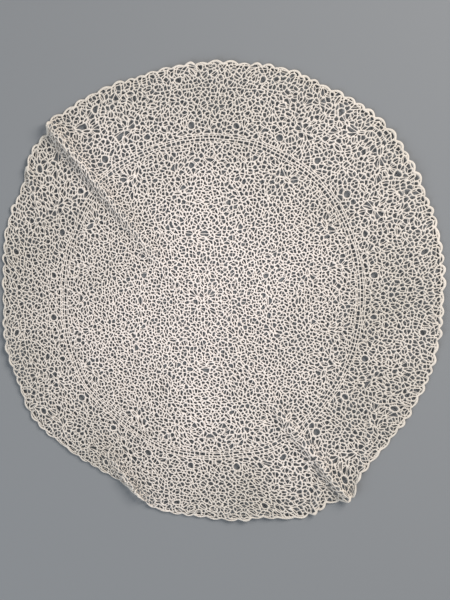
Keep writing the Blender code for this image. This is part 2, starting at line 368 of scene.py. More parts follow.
# %% A greedy choice in array form
def thin_out(points, reach, heading, stretch, stood, stood_reach):
    """Keep a place if it is further from each standing place than the sum of both reaches, earliest first.
    Distances along a place's heading count less, and across it more, by the stretch."""
    axis = ray(np.ones(len(points)), heading)
    offset = points[:, None] - stood[None]
    along = (offset * axis[:, None]).sum(2)
    across = np.sqrt(np.maximum((offset**2).sum(2) - along**2, 0))
    apart = np.hypot(along / stretch[:, None], across * stretch[:, None])
    kept = np.flatnonzero((apart > reach[:, None] + stood_reach[None]).all(1))
    points, reach, axis, stretch = points[kept], reach[kept], axis[kept], stretch[kept]
    offset = points[:, None] - points[None]
    square = (offset**2).sum(2)
    along = (offset * axis[:, None]).sum(2) ** 2
    own = np.sqrt(along / stretch[:, None] ** 2 + np.maximum(square - along, 0) * stretch[:, None] ** 2)
    rivals = (own + own.T) / 2 < reach[:, None] + reach[None]
    np.fill_diagonal(rivals, False)
    earlier = rivals & (np.arange(len(kept))[None] < np.arange(len(kept))[:, None])
    waiting, stands = np.ones(len(kept), bool), np.zeros(len(kept), bool)
    while waiting.any():
        first = waiting & ~(earlier & waiting[None]).any(1)
        stands |= first
        waiting &= ~first & ~(rivals & first[None]).any(1)
    return kept[stands]


row = ray(0.002 * np.arange(6), np.zeros(6))
stand = thin_out(row, np.full(6, 0.0015), np.zeros(6), np.ones(6), row[:0], np.zeros(0))
print("of six places 2 mm apart, with a reach of 1.5 mm, these stand:", stand)


# %% Copies all round, and places in the wedge
def eighth(points, copy):
    """Copy 0 to 7 of a place in the wedge: flipped across the side's middle line from 4 on, then turned by
    that many quarters. Works for one copy number or one for each place."""
    copy = np.broadcast_to(copy, points.shape[:-1])
    quarter = copy % 4
    cos, sin = np.array([1, 0, -1, 0])[quarter], np.array([0, 1, 0, -1])[quarter]
    x, y = points[..., 0], points[..., 1] * np.where(copy > 3, -1, 1)
    return np.stack([cos * x - sin * y, sin * x + cos * y], axis=-1)


def all_eight(points):
    """Every copy of every place, one after another."""
    return np.concatenate([eighth(points, copy) for copy in range(8)])


def in_wedge(spots, heading, near, far):
    """Spots close to a flip line move onto it and head along or across it. Says which spots stay: those on a
    line, and those inside the wedge that don't crowd their own flipped copy."""
    radius, turn = polar(spots)
    line = np.where(turn < WEDGE / 2, 0.0, WEDGE)
    away = radius * np.sin(np.radians(np.abs(turn - line)))
    on_line = away < near
    heading = np.where(on_line, line + 90 * np.round((heading - line) / 90), heading)
    stays = on_line | ((away > far) & (turn > 0) & (turn < WEDGE))
    return np.where(on_line[:, None], ray(radius, line), spots), heading, stays


def numbered(counts):
    """A row for each thing of each owner: the owner, and the thing's number there, from 0."""
    owner = np.repeat(np.arange(len(counts)), counts)
    return owner, np.arange(len(owner)) - np.repeat(np.cumsum(counts) - counts, counts)


eight_turns = np.sort(polar(all_eight(ray(np.ones(1), 10.0)))[1] % 360)
print("a place at 10 degrees comes back at", np.round(eight_turns).astype(int))

# %% [markdown]
# ## Flowers, rings of leaves and loose leaves
# Lace makers fill the ground with a few motifs. Here petals stand round a flower's heart, a ring of leaves
# round the petals, and loose leaves between point away from the nearest flower. They could stand in rows,
# but scattered ones look worked by hand. Each group is thinned out round the groups before it.
# First come the lines and the open eyes that all of them keep clear of.


# %% Lines and eyes to keep clear of
BRAID_LINES = (0.1664, 0.1695, 0.1724)
EDGE_LINE_IN = 0.0013
EDGE_MEAN = 0.2482
LACE_SEED = 60
rng = np.random.default_rng(LACE_SEED)
eye_radius, eye_turn = np.array([(eye.radius, eye.turn) for eye in EYES]).T
EYE_PLACES = all_eight(ray(eye_radius / 1000, eye_turn))


def beside_lines(spots, clear):
    """Whether each spot keeps this far from the braid and the edge."""
    radius = polar(spots)[0]
    beside_braid = (radius < BRAID_LINES[0] - clear) | (radius > BRAID_LINES[2] + clear)
    return beside_braid & (radius < EDGE_MEAN - clear)


def scattered(count, least_radius):
    """Places scattered evenly over the wedge, with headings at random."""
    radius = np.sqrt(rng.uniform(least_radius**2, EDGE_MEAN**2, count))
    return ray(radius, rng.uniform(0, WEDGE, count)), rng.uniform(0, 180, count)


def clear_of_eyes(spots, clear):
    """Whether each spot keeps this far from every open eye."""
    return (lengths(spots[:, None] - EYE_PLACES[None]) > clear).all(1)


print(len(EYE_PLACES), "eyes all round")

# %% Scatter flowers in the wedge
# A flower's room sets its number of petals. No flower comes near the charted one in the middle.
FLOWER_TRIES = 900
FLOWER_LEAST_RADIUS = 0.044
FLOWER_BY_LINE = (0.0070, 0.0145)
FLOWER_CLEAR = 0.0115
FLOWER_EYE_CLEAR = 0.0160
FLOWER_ROOM = (0.0140, 0.0172)
MIDDLE_FLOWER_REACH = 0.030
FEWEST_PETALS, MOST_PETALS = 5, 8
PETALS_FROM, PETALS_MORE = 4.5, 4
PETALS_WITH_HUB = 7
hearts, turned = scattered(FLOWER_TRIES, FLOWER_LEAST_RADIUS)
hearts, turned, stays = in_wedge(hearts, turned, *FLOWER_BY_LINE)
stays &= beside_lines(hearts, FLOWER_CLEAR) & clear_of_eyes(hearts, FLOWER_EYE_CLEAR)
hearts, turned = hearts[stays], turned[stays]
room = rng.uniform(*FLOWER_ROOM, len(hearts))
picked = thin_out(hearts, room, turned, np.ones(len(hearts)), np.zeros((1, 2)),
                  np.array([MIDDLE_FLOWER_REACH]))
hearts, turned, room = hearts[picked], turned[picked], room[picked]
petals = np.round((room - FLOWER_ROOM[0]) / (FLOWER_ROOM[1] - FLOWER_ROOM[0]) * PETALS_MORE + PETALS_FROM)
petals = np.clip(petals, FEWEST_PETALS, MOST_PETALS).astype(int)
with_hub = petals >= PETALS_WITH_HUB
print(len(hearts), "flowers in the wedge, with", int(petals.sum()), "petals")

# %% Petals, a ring of leaves round each flower, and loose leaves between
Kind = namedtuple("Kind", "reach core stretch")
HUB = Kind(0.0033, 0.0004, 1.0)
PETAL = Kind(0.0029, 0.0026, 1.0)
RING_LEAF = Kind(0.0039, 0.0020, 1.15)
LOOSE_LEAF = Kind(0.0043, 0.0018, 1.30)
PETAL_OUT = np.array([0.0, 0.0, 0.0, 0.0, 0.0, 0.0059, 0.0068, 0.0096, 0.0106])
RING_OUT = 0.0105
RING_PITCH = 0.0096
LOOSE_TRIES = 5000
LOOSE_LEAST_RADIUS = 0.030
LOOSE_SWAY = 22
petal_out = PETAL_OUT[petals]
flower, number = numbered(petals)
direction = turned[flower] + (number + 0.5 * (flower % 2)) * 360 / petals[flower]
groups = [(HUB, hearts[with_hub], turned[with_hub]),
          (PETAL, hearts[flower] + ray(petal_out[flower], direction), direction)]
ring = np.round((petal_out + RING_OUT) * 2 * np.pi / RING_PITCH).astype(int)
flower, number = numbered(ring)
direction = turned[flower] + (number + 0.25) * 360 / ring[flower]
groups.append((RING_LEAF, hearts[flower] + ray(petal_out[flower] + RING_OUT, direction), direction))
loose, _ = scattered(LOOSE_TRIES, LOOSE_LEAST_RADIUS)
to_heart = loose[:, None] - all_eight(hearts)[None]
nearest = lengths(to_heart).argmin(1)
direction = polar(to_heart[np.arange(len(loose)), nearest])[1] + rng.normal(0, LOOSE_SWAY, len(loose))
groups.append((LOOSE_LEAF, loose, direction))
print([len(spots) for _, spots, _ in groups], "places for hubs, petals, ring leaves and loose leaves")

# %% Thin each group out in turn
# Figures of the border are a little larger, and each figure's size is a little uneven.
BORDER_GROWS = 0.07
FIGURE_BY_LINE = (0.0021, 0.0036)
FIGURE_CLEAR = 0.0029
EYE_CLEAR = 0.0094
UNEVEN_REACH = (0.92, 1.12)
UNEVEN_CORE = (0.3, 1.7)
centres = np.array([ray(f.radius / 1000, f.turn) for f in CHARTED])
headings, cores, reaches = np.array([(f.turn + f.lean, f.core / 1000, f.reach / 1000) for f in CHARTED]).T
for kind, spots, direction in groups:
    grow = 1 + BORDER_GROWS * (polar(spots)[0] > BRAID_LINES[1])
    spots, direction, stays = in_wedge(spots, direction, *FIGURE_BY_LINE)
    stays &= beside_lines(spots, FIGURE_CLEAR) & clear_of_eyes(spots, EYE_CLEAR)
    spots, direction, grow = spots[stays], direction[stays], grow[stays]
    reach = kind.reach * grow * rng.uniform(*UNEVEN_REACH, len(spots))
    stretch = np.full(len(spots), kind.stretch)
    picked = thin_out(spots, reach, direction, stretch, all_eight(centres), np.tile(reaches, 8))
    centres = np.concatenate([centres, spots[picked]])
    headings, reaches = np.append(headings, direction[picked]), np.append(reaches, reach[picked])
    cores = np.append(cores, kind.core * rng.uniform(*UNEVEN_CORE, len(picked)))
    print(len(picked), "figures added")
is_eye = np.arange(len(centres)) - len(CHART)
is_eye = (is_eye >= 0) & (is_eye < len(EYES))
print(len(centres), "figures in the wedge")

# %% [markdown]
# ## Eight times round
# Now the wedge is worked eight times round, and each figure lands a little off its place, as hands do.
# Figures divide the cloth between them: half way between the seed points of two figures runs a wall.
# It is how soap foam and many laces divide a surface. Ready-made shapes could be set side by side, but they
# would overlap or leave gaps, and such walls always fit. Blender's Delaunay routine finds the neighbours.

# %% Figures of the whole doily
TINY = 3e-6
EYE_SEEDS = 6


def whole_table(centres, headings, is_eye):
    """The wedge's figures all round: their rows in the wedge's table, copies and axes, whether each is an
    open eye, and which of the wedge's figures lie on a flip line. Those are copied four times only."""
    on_line = np.isin(np.round(polar(centres)[1], 6), (0.0, WEDGE))
    rows, copies = np.tile(np.arange(len(centres)), 8), np.repeat(np.arange(8), len(centres))
    shown = ~(on_line[rows] & (copies > 3))
    rows, copies = rows[shown], copies[shown]
    return rows, copies, eighth(ray(np.ones(len(rows)), headings[rows]), copies), is_eye[rows], on_line


def seed_points(middles, axes, cores, named):
    """Two seed points for each figure, one for each half of its length, or a ring of six for an open eye.
    Says which figure each belongs to. A tiny shift of each avoids ties between exact copies."""
    tips = axes * cores[:, None]
    ring = ray(np.full(EYE_SEEDS, cores[named][0]), 360.0 / EYE_SEEDS * np.arange(EYE_SEEDS))
    seeds = np.concatenate([(middles + tips)[~named], (middles - tips)[~named],
                            (middles[named][:, None] + ring[None]).reshape(-1, 2)])
    plain = np.flatnonzero(~named)
    owner = np.concatenate([plain, plain, np.repeat(np.flatnonzero(named), EYE_SEEDS)])
    return seeds + rng.normal(0, TINY, seeds.shape), owner


print("two seed points for each figure, but", EYE_SEEDS, "for each open eye")

# %% Neighbours, and the corners between them
SAME_PLACE = 1e-9


def cross(a, b):
    """The signed area between two flat vectors."""
    return a[..., 0] * b[..., 1] - a[..., 1] * b[..., 0]


def gathered(values, owner, count):
    """Sum of the values that belong to each owner."""
    return np.stack([np.bincount(owner, v, count) for v in np.atleast_2d(values.T)], axis=1)


def corners_between(points):
    """Triangles of neighbouring places, and the point at equal distance from the three of each."""
    found = delaunay_2d_cdt([Vector(p) for p in points.tolist()], [], [], 0, SAME_PLACE)
    triangles = np.array(found[2])
    a, b, c = points[triangles].transpose(1, 0, 2)
    ab, ac = b - a, c - a
    squares = np.stack([(ab**2).sum(1), (ac**2).sum(1)])
    x = (ac[:, 1] * squares[0] - ab[:, 1] * squares[1]) / (2 * cross(ab, ac))
    y = (ab[:, 0] * squares[1] - ac[:, 0] * squares[0]) / (2 * cross(ab, ac))
    return triangles, a + np.stack([x, y], axis=1)


def sides_of(triangles):
    """Each side between two places: the places on its left and right, and the corners it runs between."""
    edges = np.concatenate([triangles[:, [0, 1]], triangles[:, [1, 2]], triangles[:, [2, 0]]])
    corner = np.tile(np.arange(len(triangles)), 3)
    key = np.sort(edges, axis=1) @ (triangles.max() + 1, 1)
    order = np.argsort(key, kind="stable")
    same = np.flatnonzero(key[order][1:] == key[order][:-1])
    first, second = order[same], order[same + 1]
    return edges[first], np.stack([corner[first], corner[second]], axis=1)


five_places = np.concatenate([np.zeros((1, 2)), ray(np.ones(4), np.array([0.0, 90.0, 180.0, 270.0]))])
five_triangles = corners_between(five_places)[0]
shared = sides_of(five_triangles)[0]
print("five places make", len(five_triangles), "triangles, with", len(shared), "sides between two of them")

# %% The walls of a zone
MIRROR_BAND = 0.016


def zone_walls(seeds, owner, figures, mirrors):
    """Walls of one zone: for each, the figure or line on its left and right and its two end points. Seed
    points near a border line are mirrored in it, so that walls run along the line."""
    points, who = [seeds], [owner]
    radius, degrees = polar(seeds)
    for line, mirror in mirrors:
        near = np.abs(radius - mirror) < MIRROR_BAND
        points.append(ray(2 * mirror - radius[near], degrees[near]))
        who.append(np.full(near.sum(), figures + line))
    who = np.concatenate(who)
    triangles, corners = corners_between(np.concatenate(points))
    pair, ends = sides_of(triangles)
    pair = who[pair]
    ends = ends[:, ::-1].copy()
    swap = pair[:, 0] >= figures
    pair[swap], ends[swap] = pair[swap][:, ::-1], ends[swap][:, ::-1]
    keep = (pair[:, 0] < figures) & (pair[:, 0] != pair[:, 1])
    return pair[keep], ends[keep], corners


def all_walls(seeds, owner, figures):
    """Walls of the middle, then of the border: their figures, their ends, the corners' places, and how many
    walls are the middle's. The lines have numbers after the figures: three of the braid, then the edge."""
    inner = polar(seeds)[0] < BRAID_LINES[1]
    pair, ends, corners = zone_walls(seeds[inner], owner[inner], figures, [(0, BRAID_LINES[0])])
    border = [(2, BRAID_LINES[2]), (3, EDGE_MEAN)]
    more_pair, more_ends, more_corners = zone_walls(seeds[~inner], owner[~inner], figures, border)
    return (np.concatenate([pair, more_pair]), np.concatenate([ends, more_ends + len(corners)]),
            np.concatenate([corners, more_corners]), len(pair))


print("walls run along lines at", in_mm([BRAID_LINES[0], BRAID_LINES[2], EDGE_MEAN]), "mm from the middle")

# %% [markdown]
# ## Even tiles
# A lace maker keeps the ground even, because a large hole would tear. Scattered figures leave some tiles too
# large and others too small. The best places could be searched for, but moving each figure most of the way
# to the middle of its tile, a few times over, is simple and leaves the slight unevenness of hand work.

# %% Even the figures out
HAND_ERROR = 0.00045
EVENING = 0.7


def evened(centres, headings, cores, is_eye, rounds):
    """Figures that weren't charted, moved most of the way to the middle of their tile in each round.
    A tile's middle is the mean of the triangles between its centre and its walls, weighted by their areas.
    Also gives the tiles' corners, the room round each and the tiles' areas."""
    for _ in range(rounds):
        rows, copies, axes, named, on_line = whole_table(centres, headings, is_eye)
        middles = eighth(centres[rows], copies)
        seeds, owner = seed_points(middles, axes, cores[rows], named)
        pair, wall, corner_at, _ = all_walls(seeds, owner, len(rows))
        both = pair[:, 1] < len(rows)
        who = np.concatenate([pair[:, 0], pair[both, 1]])
        a = corner_at[np.concatenate([wall[:, 0], wall[both, 1]])] - middles[who]
        b = corner_at[np.concatenate([wall[:, 1], wall[both, 0]])] - middles[who]
        tile = gathered(cross(a, b) / 2, who, len(rows))
        shift = gathered(cross(a, b)[:, None] / 2 * (a + b) / 3, who, len(rows)) / tile
        radius, turn = polar(centres + EVENING * shift[: len(centres)])
        turn = np.where(on_line, np.round(polar(centres)[1] / WEDGE) * WEDGE, turn)
        moves = (np.arange(len(centres)) >= len(CHARTED))[:, None]
        centres = np.where(moves, ray(radius, turn), centres)
    used = np.unique(wall)
    room = lengths(corner_at[used][:, None] - seeds[None]).min(1)
    return centres, corner_at[used], room, tile


centres, corners, room, tile = evened(centres, headings, cores, is_eye, rounds=3)
print("tiles of", in_square_mm(tile.mean()), "square mm, give or take", in_square_mm(tile.std()))

# %% Fill the widest gaps with buds
BUD_ROOM = 0.0072
BUD_REACH = 0.0045
BUD_CORE = 0.0006
BUD_CLEAR = 0.0026
CENTRE_REACH = 0.0001
order = np.argsort(-room)
wide = order[room[order] > BUD_ROOM]
buds, bud_heading, stays = in_wedge(corners[wide], np.zeros(len(wide)), *FIGURE_BY_LINE)
stays &= beside_lines(buds, BUD_CLEAR)
buds, bud_heading = buds[stays], bud_heading[stays]
standing = all_eight(centres)
picked = thin_out(buds, np.full(len(buds), BUD_REACH), bud_heading, np.ones(len(buds)), standing,
                  np.full(len(standing), CENTRE_REACH))
centres = np.concatenate([centres, buds[picked]])
headings = np.append(headings, bud_heading[picked])
cores = np.append(cores, np.full(len(picked), BUD_CORE))
is_eye = np.append(is_eye, np.zeros(len(picked), bool))
print(len(picked), "buds fill gaps with more than", in_mm(BUD_ROOM), "mm of room")

# %% Place every figure and find the walls
centres, _, _, tile = evened(centres, headings, cores, is_eye, rounds=2)
rows, copies, AXES, named, _ = whole_table(centres, headings, is_eye)
FIGURES = len(rows)
CENTRES = eighth(centres[rows], copies) + rng.normal(0, HAND_ERROR, (FIGURES, 2)) * ~named[:, None]
pair, wall, corner_at, middle_walls = all_walls(*seed_points(CENTRES, AXES, cores[rows], named), FIGURES)
wall_in_middle = np.arange(len(pair)) < middle_walls
print(FIGURES, "figures in the doily;", len(pair), "walls; tiles give or take", in_square_mm(tile.std()))

# %% [markdown]
# ## Outlines
# A figure's outline is one smooth cord that keeps a little back from every wall. Seen from the figure's
# centre, each wall gives a distance in each direction, and the outline takes their soft minimum: the power
# mean of a high negative power. It rounds all corners: a tile of six walls becomes an oval, a long one a
# leaf. A curve through the tile's corners could be used, but it would bulge over the walls of narrow tiles.
# A short wall weighs less, so that it doesn't dent the outline.

# %% Distance of each wall from its figures' centres
# The part's twelve named eyes are every second one of the inner ring. They stay a little wider open.
GAP = (0.0018, 0.0029)
EYE_GAP = 0.0011
LINE_GAP = 0.0015
LEAST_CLEAR = 0.0014
WHOLE_WALL = 0.0048
FIRST_EYE, EYE_PITCH, EYE_NEAR = 7.5, 30, 2
BETWEEN_EYE_RINGS = 0.2
centre_radius, centre_turn = polar(CENTRES)
from_named_eye = np.abs((centre_turn - FIRST_EYE + EYE_PITCH / 2) % EYE_PITCH - EYE_PITCH / 2)
stated = named & (centre_radius < BETWEEN_EYE_RINGS) & (from_named_eye < EYE_NEAR)
start, stop = corner_at[wall[:, 0]], corner_at[wall[:, 1]]
span = lengths(stop - start)
normal = -left_of(unit(stop - start))
gap = rng.uniform(*GAP, len(pair)) / 2
gap = np.where(pair[:, 1] >= FIGURES, LINE_GAP, gap)
gap = np.where(named[pair[:, 0]] | named[np.minimum(pair[:, 1], FIGURES - 1)], EYE_GAP, gap)
weight = np.clip(span / WHOLE_WALL, 0, 1) ** 2
both = pair[:, 1] < FIGURES
wall_of = np.concatenate([pair[:, 0], pair[both, 1]])
wall_normal = np.concatenate([normal, -normal[both]])
wall_point = np.concatenate([start, start[both]])
wall_gap = np.concatenate([gap, gap[both]])
wall_clear = (wall_normal * (wall_point - CENTRES[wall_of])).sum(1) - wall_gap
wall_clear = np.maximum(wall_clear, LEAST_CLEAR)
order = np.argsort(wall_of, kind="stable")
wall_of, wall_normal, wall_clear = wall_of[order], wall_normal[order], wall_clear[order]
wall_weight = np.concatenate([weight, weight[both]])[order]


def table_by_owner(owner, count):
    """For sorted owners, a table with each owner's rows side by side, and whether each entry is there."""
    first = np.searchsorted(owner, np.arange(count + 1))
    table = first[:-1, None] + np.arange(int(np.diff(first).max()))[None]
    return np.minimum(table, len(owner) - 1), table < first[1:, None]


wall_table, wall_there = table_by_owner(wall_of, FIGURES)
print("up to", wall_table.shape[1], "walls round a figure;", int(stated.sum()), "named eyes")

# %% Outlines as soft minimums
OUTLINE_ROUND = 13.0
EYE_OUTLINE = np.array([(0.0034, 0.0045), (0.00412, 0.0047)])
BULGES = 0.05
EYE_BULGES = (0.08, 0.02)
NAMED_EYE_BULGES = (0.08, 0.04)
BULGE = rng.uniform(0, BULGES, (FIGURES, 2)) + named[:, None] * EYE_BULGES
BULGE = np.where(stated[:, None], NAMED_EYE_BULGES, BULGE)
BULGE_TURN = rng.uniform(0, 360, (FIGURES, 2))


def outline_radius(figure, degrees):
    """Radius of a figure's outline in a direction: the soft minimum of its walls' distances, made uneven
    with two and three soft bulges round it."""
    facing = (ray(np.ones(len(figure)), degrees)[:, None] * wall_normal[wall_table[figure]]).sum(2)
    share = np.maximum(facing, 0) / wall_clear[wall_table[figure]] * wall_there[figure]
    radius = (wall_weight[wall_table[figure]] * share**OUTLINE_ROUND).sum(1) ** (-1 / OUTLINE_ROUND)
    bulges = sum(BULGE[figure, k] * np.cos(np.radians((k + 2) * degrees + BULGE_TURN[figure, k]))
                 for k in (0, 1))
    least, most = EYE_OUTLINE[stated[figure].astype(int)].T
    return np.where(named[figure], np.clip(radius, least, most), radius) * (1 + bulges)


print("bulges of up to", round(100 * float(BULGE.max())), "percent of an outline's radius")

# %% The braid's lines, and a point of any curve
BRAID_WOBBLES = ((13, 0.4, 0.00034), (29, 2.1, 0.00030), (57, 4.0, 0.00020))
LINES_APART = 900


def line_radius(line, degrees):
    """Radius of the braid's three lines, which were not worked quite evenly, and of the scalloped edge. Each
    line has three soft waves round it, given by their number, start and height, that shift from line to
    line."""
    uneven = [radius + sum(high * np.cos(np.radians(degrees) * n + start + LINES_APART * radius)
                           for n, start, high in BRAID_WOBBLES) for radius in BRAID_LINES]
    return np.stack([*uneven, scallop_edge(degrees) - EDGE_LINE_IN])[line, np.arange(len(degrees))]


def curve_point(curve, degrees):
    """Point of a curve in a direction from its centre. Curves are the figures' outlines, then the lines."""
    is_line = curve >= FIGURES
    figure = np.minimum(curve, FIGURES - 1)
    radius = outline_radius(figure, degrees)
    radius[is_line] = line_radius(curve[is_line] - FIGURES, degrees[is_line])
    return np.where(is_line[:, None], 0, CENTRES[figure]) + ray(radius, degrees)


line_top = curve_point(np.array([FIGURES]), np.array([90.0]))[0]
print("straight up, the braid's first line lies at", in_mm(line_top), "mm")

# %% The long axis of each outline
LOOK_STEP = 15.0
LOOKS = np.arange(0, 360, LOOK_STEP)
EVERY = np.arange(FIGURES)
looks = outline_radius(np.repeat(EVERY, len(LOOKS)), np.tile(LOOKS, FIGURES)).reshape(FIGURES, -1)
twice = np.radians(2 * LOOKS)
up, right = (looks**2 * np.sin(twice)).sum(1), (looks**2 * np.cos(twice)).sum(1)
axis_turn = np.degrees(np.arctan2(up, right)) / 2
ahead = (outline_radius(EVERY, axis_turn) + outline_radius(EVERY, axis_turn + 180)) / 2
aside = (outline_radius(EVERY, axis_turn + 90) + outline_radius(EVERY, axis_turn + 270)) / 2
outline_area = (looks**2).sum(1) * np.radians(LOOK_STEP) / 2
print("outlines of", in_square_mm(outline_area.mean()), "square mm on average,", in_mm(2 * ahead.mean()),
      "by", in_mm(2 * aside.mean()), "mm")

# %% [markdown]
# ## Links between the figures
# Short links of thread hold the figures together. They cross each wall, up to three by its length, and join
# the outlines at its sides. The shortest walls have none. Between links lie slits, and where three walls meet
# lies a small gap. Each figure could have links at an even pitch all round, but some gaps would then grow
# too wide. So the links are counted wall by wall, and a wide gap gets one more on its walls.


# %% Links across the walls
MERGE_ROUNDS = 8


def merged(count, pairs):
    """One label for all things that are joined by pairs, the lowest number among them."""
    label = np.arange(count)
    for _ in range(MERGE_ROUNDS):
        low = label[pairs].min(1)
        np.minimum.at(label, pairs[:, 0], low)
        np.minimum.at(label, pairs[:, 1], low)
        label = label[label]
    return label


# A gap's opening is guessed as the sum over its walls: a part for each wall, plus a share of the wall's
# length, less with each link that stands on it. Walls shorter than SHORT_WALL begin without a link.
LINK_PITCH = 0.0050
UNEVEN_COUNT = (0.25, 0.75)
SHORT_WALL = 0.0011
MOST_LINKS = 3
PER_WALL = 0.0023
LENGTH_SHARE = np.array([0.0, 0.50, 0.19, 0.14])
WIDE_GAP = 0.0165
ONE_MORE_OVER = np.array([0.0009, 0.0044])
link_count = np.floor(span / LINK_PITCH + rng.uniform(*UNEVEN_COUNT, len(span))).astype(int)
link_count = np.where(span < SHORT_WALL, 0, np.clip(link_count, 1, MOST_LINKS))


def gap_at_ends(link_count):
    """The gap at each end of each wall. Corners joined by a wall without links share one gap."""
    label = merged(len(corner_at), wall[link_count == 0])
    return np.searchsorted(np.unique(label[wall]), label[wall])


junction = gap_at_ends(link_count)
opening = np.where(link_count > 0, PER_WALL + LENGTH_SHARE[link_count] * span, 0)
opening = np.bincount(junction.ravel(), np.repeat(opening, 2))
wide = (opening[junction] > WIDE_GAP).any(1)
link_count += wide & (link_count < 2) & (span > ONE_MORE_OVER[np.minimum(link_count, 1)])
print(int(link_count.sum()), "links on", int((link_count > 0).sum()), "of", len(span), "walls")

# %% Where the links stand, and the gaps beside them
UNEVEN_LINKS = 0.15
LINKS_APART = 1.25
WALL_ENDS = (0.14, 0.86)
junction = gap_at_ends(link_count)
corner_gaps = int(junction.max()) + 1
slits = np.maximum(link_count - 1, 0)
slit_start = corner_gaps + np.cumsum(slits) - slits
gap_cells = corner_gaps + int(slits.sum())
link_wall, link_number = numbered(link_count)
LINKS = len(link_wall)
share = (link_number + 0.5 + rng.uniform(-UNEVEN_LINKS, UNEVEN_LINKS, LINKS)) / link_count[link_wall]
share = np.clip(0.5 + (share - 0.5) * LINKS_APART, *WALL_ENDS)
link_at = start[link_wall] + (stop - start)[link_wall] * share[:, None]
slit = slit_start[link_wall] + link_number
before = np.where(link_number == 0, junction[link_wall, 0], slit - 1)
after = np.where(link_number == link_count[link_wall] - 1, junction[link_wall, 1], slit)
link_left, link_right = pair[link_wall].T
middle_gap = np.zeros(gap_cells, bool)
middle_gap[before] |= wall_in_middle[link_wall]
middle_gap[after] |= wall_in_middle[link_wall]
print(LINKS, "links,", gap_cells, "gaps between figures")

# %% [markdown]
# ## Bars inside the figures
# Inside, bars divide a figure into cells: a bar along or across it, a star, rungs, or two hubs joined by a
# bar. A figure could be cut up at random, but that would look like cracks. A few ready ways, chosen by the
# figure's size and length, look like the fillings that lace makers use.

# %% Bars inside the figures
# Ends and hubs are given in a figure of half length 1 and half width 1. Each bar has its end, the number of
# its hub and its sector, the cell that follows it. The last column has the bars between hubs: two hubs, and
# the cells to the left and right.
Inside = namedtuple("Inside", "name cells ends hub_of hubs sectors between")


def star(name, arms, first):
    """A star of bars from one hub, with a cell between each two."""
    ends = ray(np.ones(arms), first + 360 * np.arange(arms) / arms)
    return Inside(name, arms, ends, [0] * arms, [(0, 0)], list(range(arms)), [])


RUNG_ENDS = np.array([(0.32, 0.95), (-0.32, 0.95), (-0.32, -0.95), (0.32, -0.95)])
SIX_ENDS = np.array([(0.48, 0.85), (0, 1), (-0.48, 0.85), (-0.48, -0.85), (0, -1), (0.48, -0.85)])
INSIDES = [
    Inside("open", 1, np.zeros((0, 2)), [], [], [0], []),
    star("long_bar", 2, 0),
    star("cross_bar", 2, 90),
    star("three_arms", 3, 90),
    Inside("two_rungs", 3, RUNG_ENDS, [0, 1, 1, 0], [(0.32, 0), (-0.32, 0)], [1, 2, 1, 0], []),
    star("four_arms", 4, 45),
    Inside("two_hubs", 4, RUNG_ENDS * (1.5, 1), [0, 1, 1, 0], [(0.25, 0), (-0.25, 0)], [0, 1, 2, 3],
           [(0, 1, 2, 0)]),
    Inside("three_rungs", 4, SIX_ENDS, [0, 1, 2, 2, 1, 0], [(0.48, 0), (0, 0), (-0.48, 0)],
           [1, 2, 3, 2, 1, 0], []),
    star("five_arms", 5, 18),
    star("six_arms", 6, 0),
]
NUMBER = {inside.name: k for k, inside in enumerate(INSIDES)}
print(len(INSIDES), "ways to fill a figure:", ", ".join(NUMBER))

# %% Choose the bars of each figure
# The wanted number of cells comes from the outline's area. Only long figures get rungs, and not all of them.
CELL_AREA = (15.0e-6, 18.5e-6)
WANT_LEAST, WANT_SPAN = 0.85, 0.3
WANTED_UNDER = (1.35, 2.4, 3.4, 4.5, 5.5)
LONG, LONGER, LONGEST = 1.35, 1.4, 1.7
CROSS_BAR_CHANCE, MORE_IF_LONG = 0.35, 0.3
TWO_RUNGS_CHANCE, TWO_HUBS_CHANCE, THREE_RUNGS_CHANCE = 0.4, 0.6, 0.5
chance = rng.uniform(size=(len(centres), 2))[rows]
outer_zone = centre_radius > BRAID_LINES[1]
cell_area = np.where(outer_zone, CELL_AREA[1], CELL_AREA[0])
wanted = outline_area / cell_area * (WANT_LEAST + WANT_SPAN * chance[:, 0])
slim, luck = ahead / aside, chance[:, 1]
crossed = luck < CROSS_BAR_CHANCE + MORE_IF_LONG * (slim > LONG)
two_cells = np.where(crossed, NUMBER["cross_bar"], NUMBER["long_bar"])
rungs = (slim > LONGER) & (luck < TWO_RUNGS_CHANCE)
three_cells = np.where(rungs, NUMBER["two_rungs"], NUMBER["three_arms"])
four_cells = np.where(luck < TWO_HUBS_CHANCE, NUMBER["two_hubs"], NUMBER["four_arms"])
rungs = (slim > LONGEST) & (luck < THREE_RUNGS_CHANCE)
four_cells = np.where(rungs, NUMBER["three_rungs"], four_cells)
choices = [NUMBER["open"], two_cells, three_cells, four_cells, NUMBER["five_arms"]]
pattern = np.select([wanted < most for most in WANTED_UNDER], choices, NUMBER["six_arms"])
pattern = np.where(named, NUMBER["open"], pattern)
cells_inside = np.array([inside.cells for inside in INSIDES])[pattern]
print("figures of each way:", np.bincount(pattern))

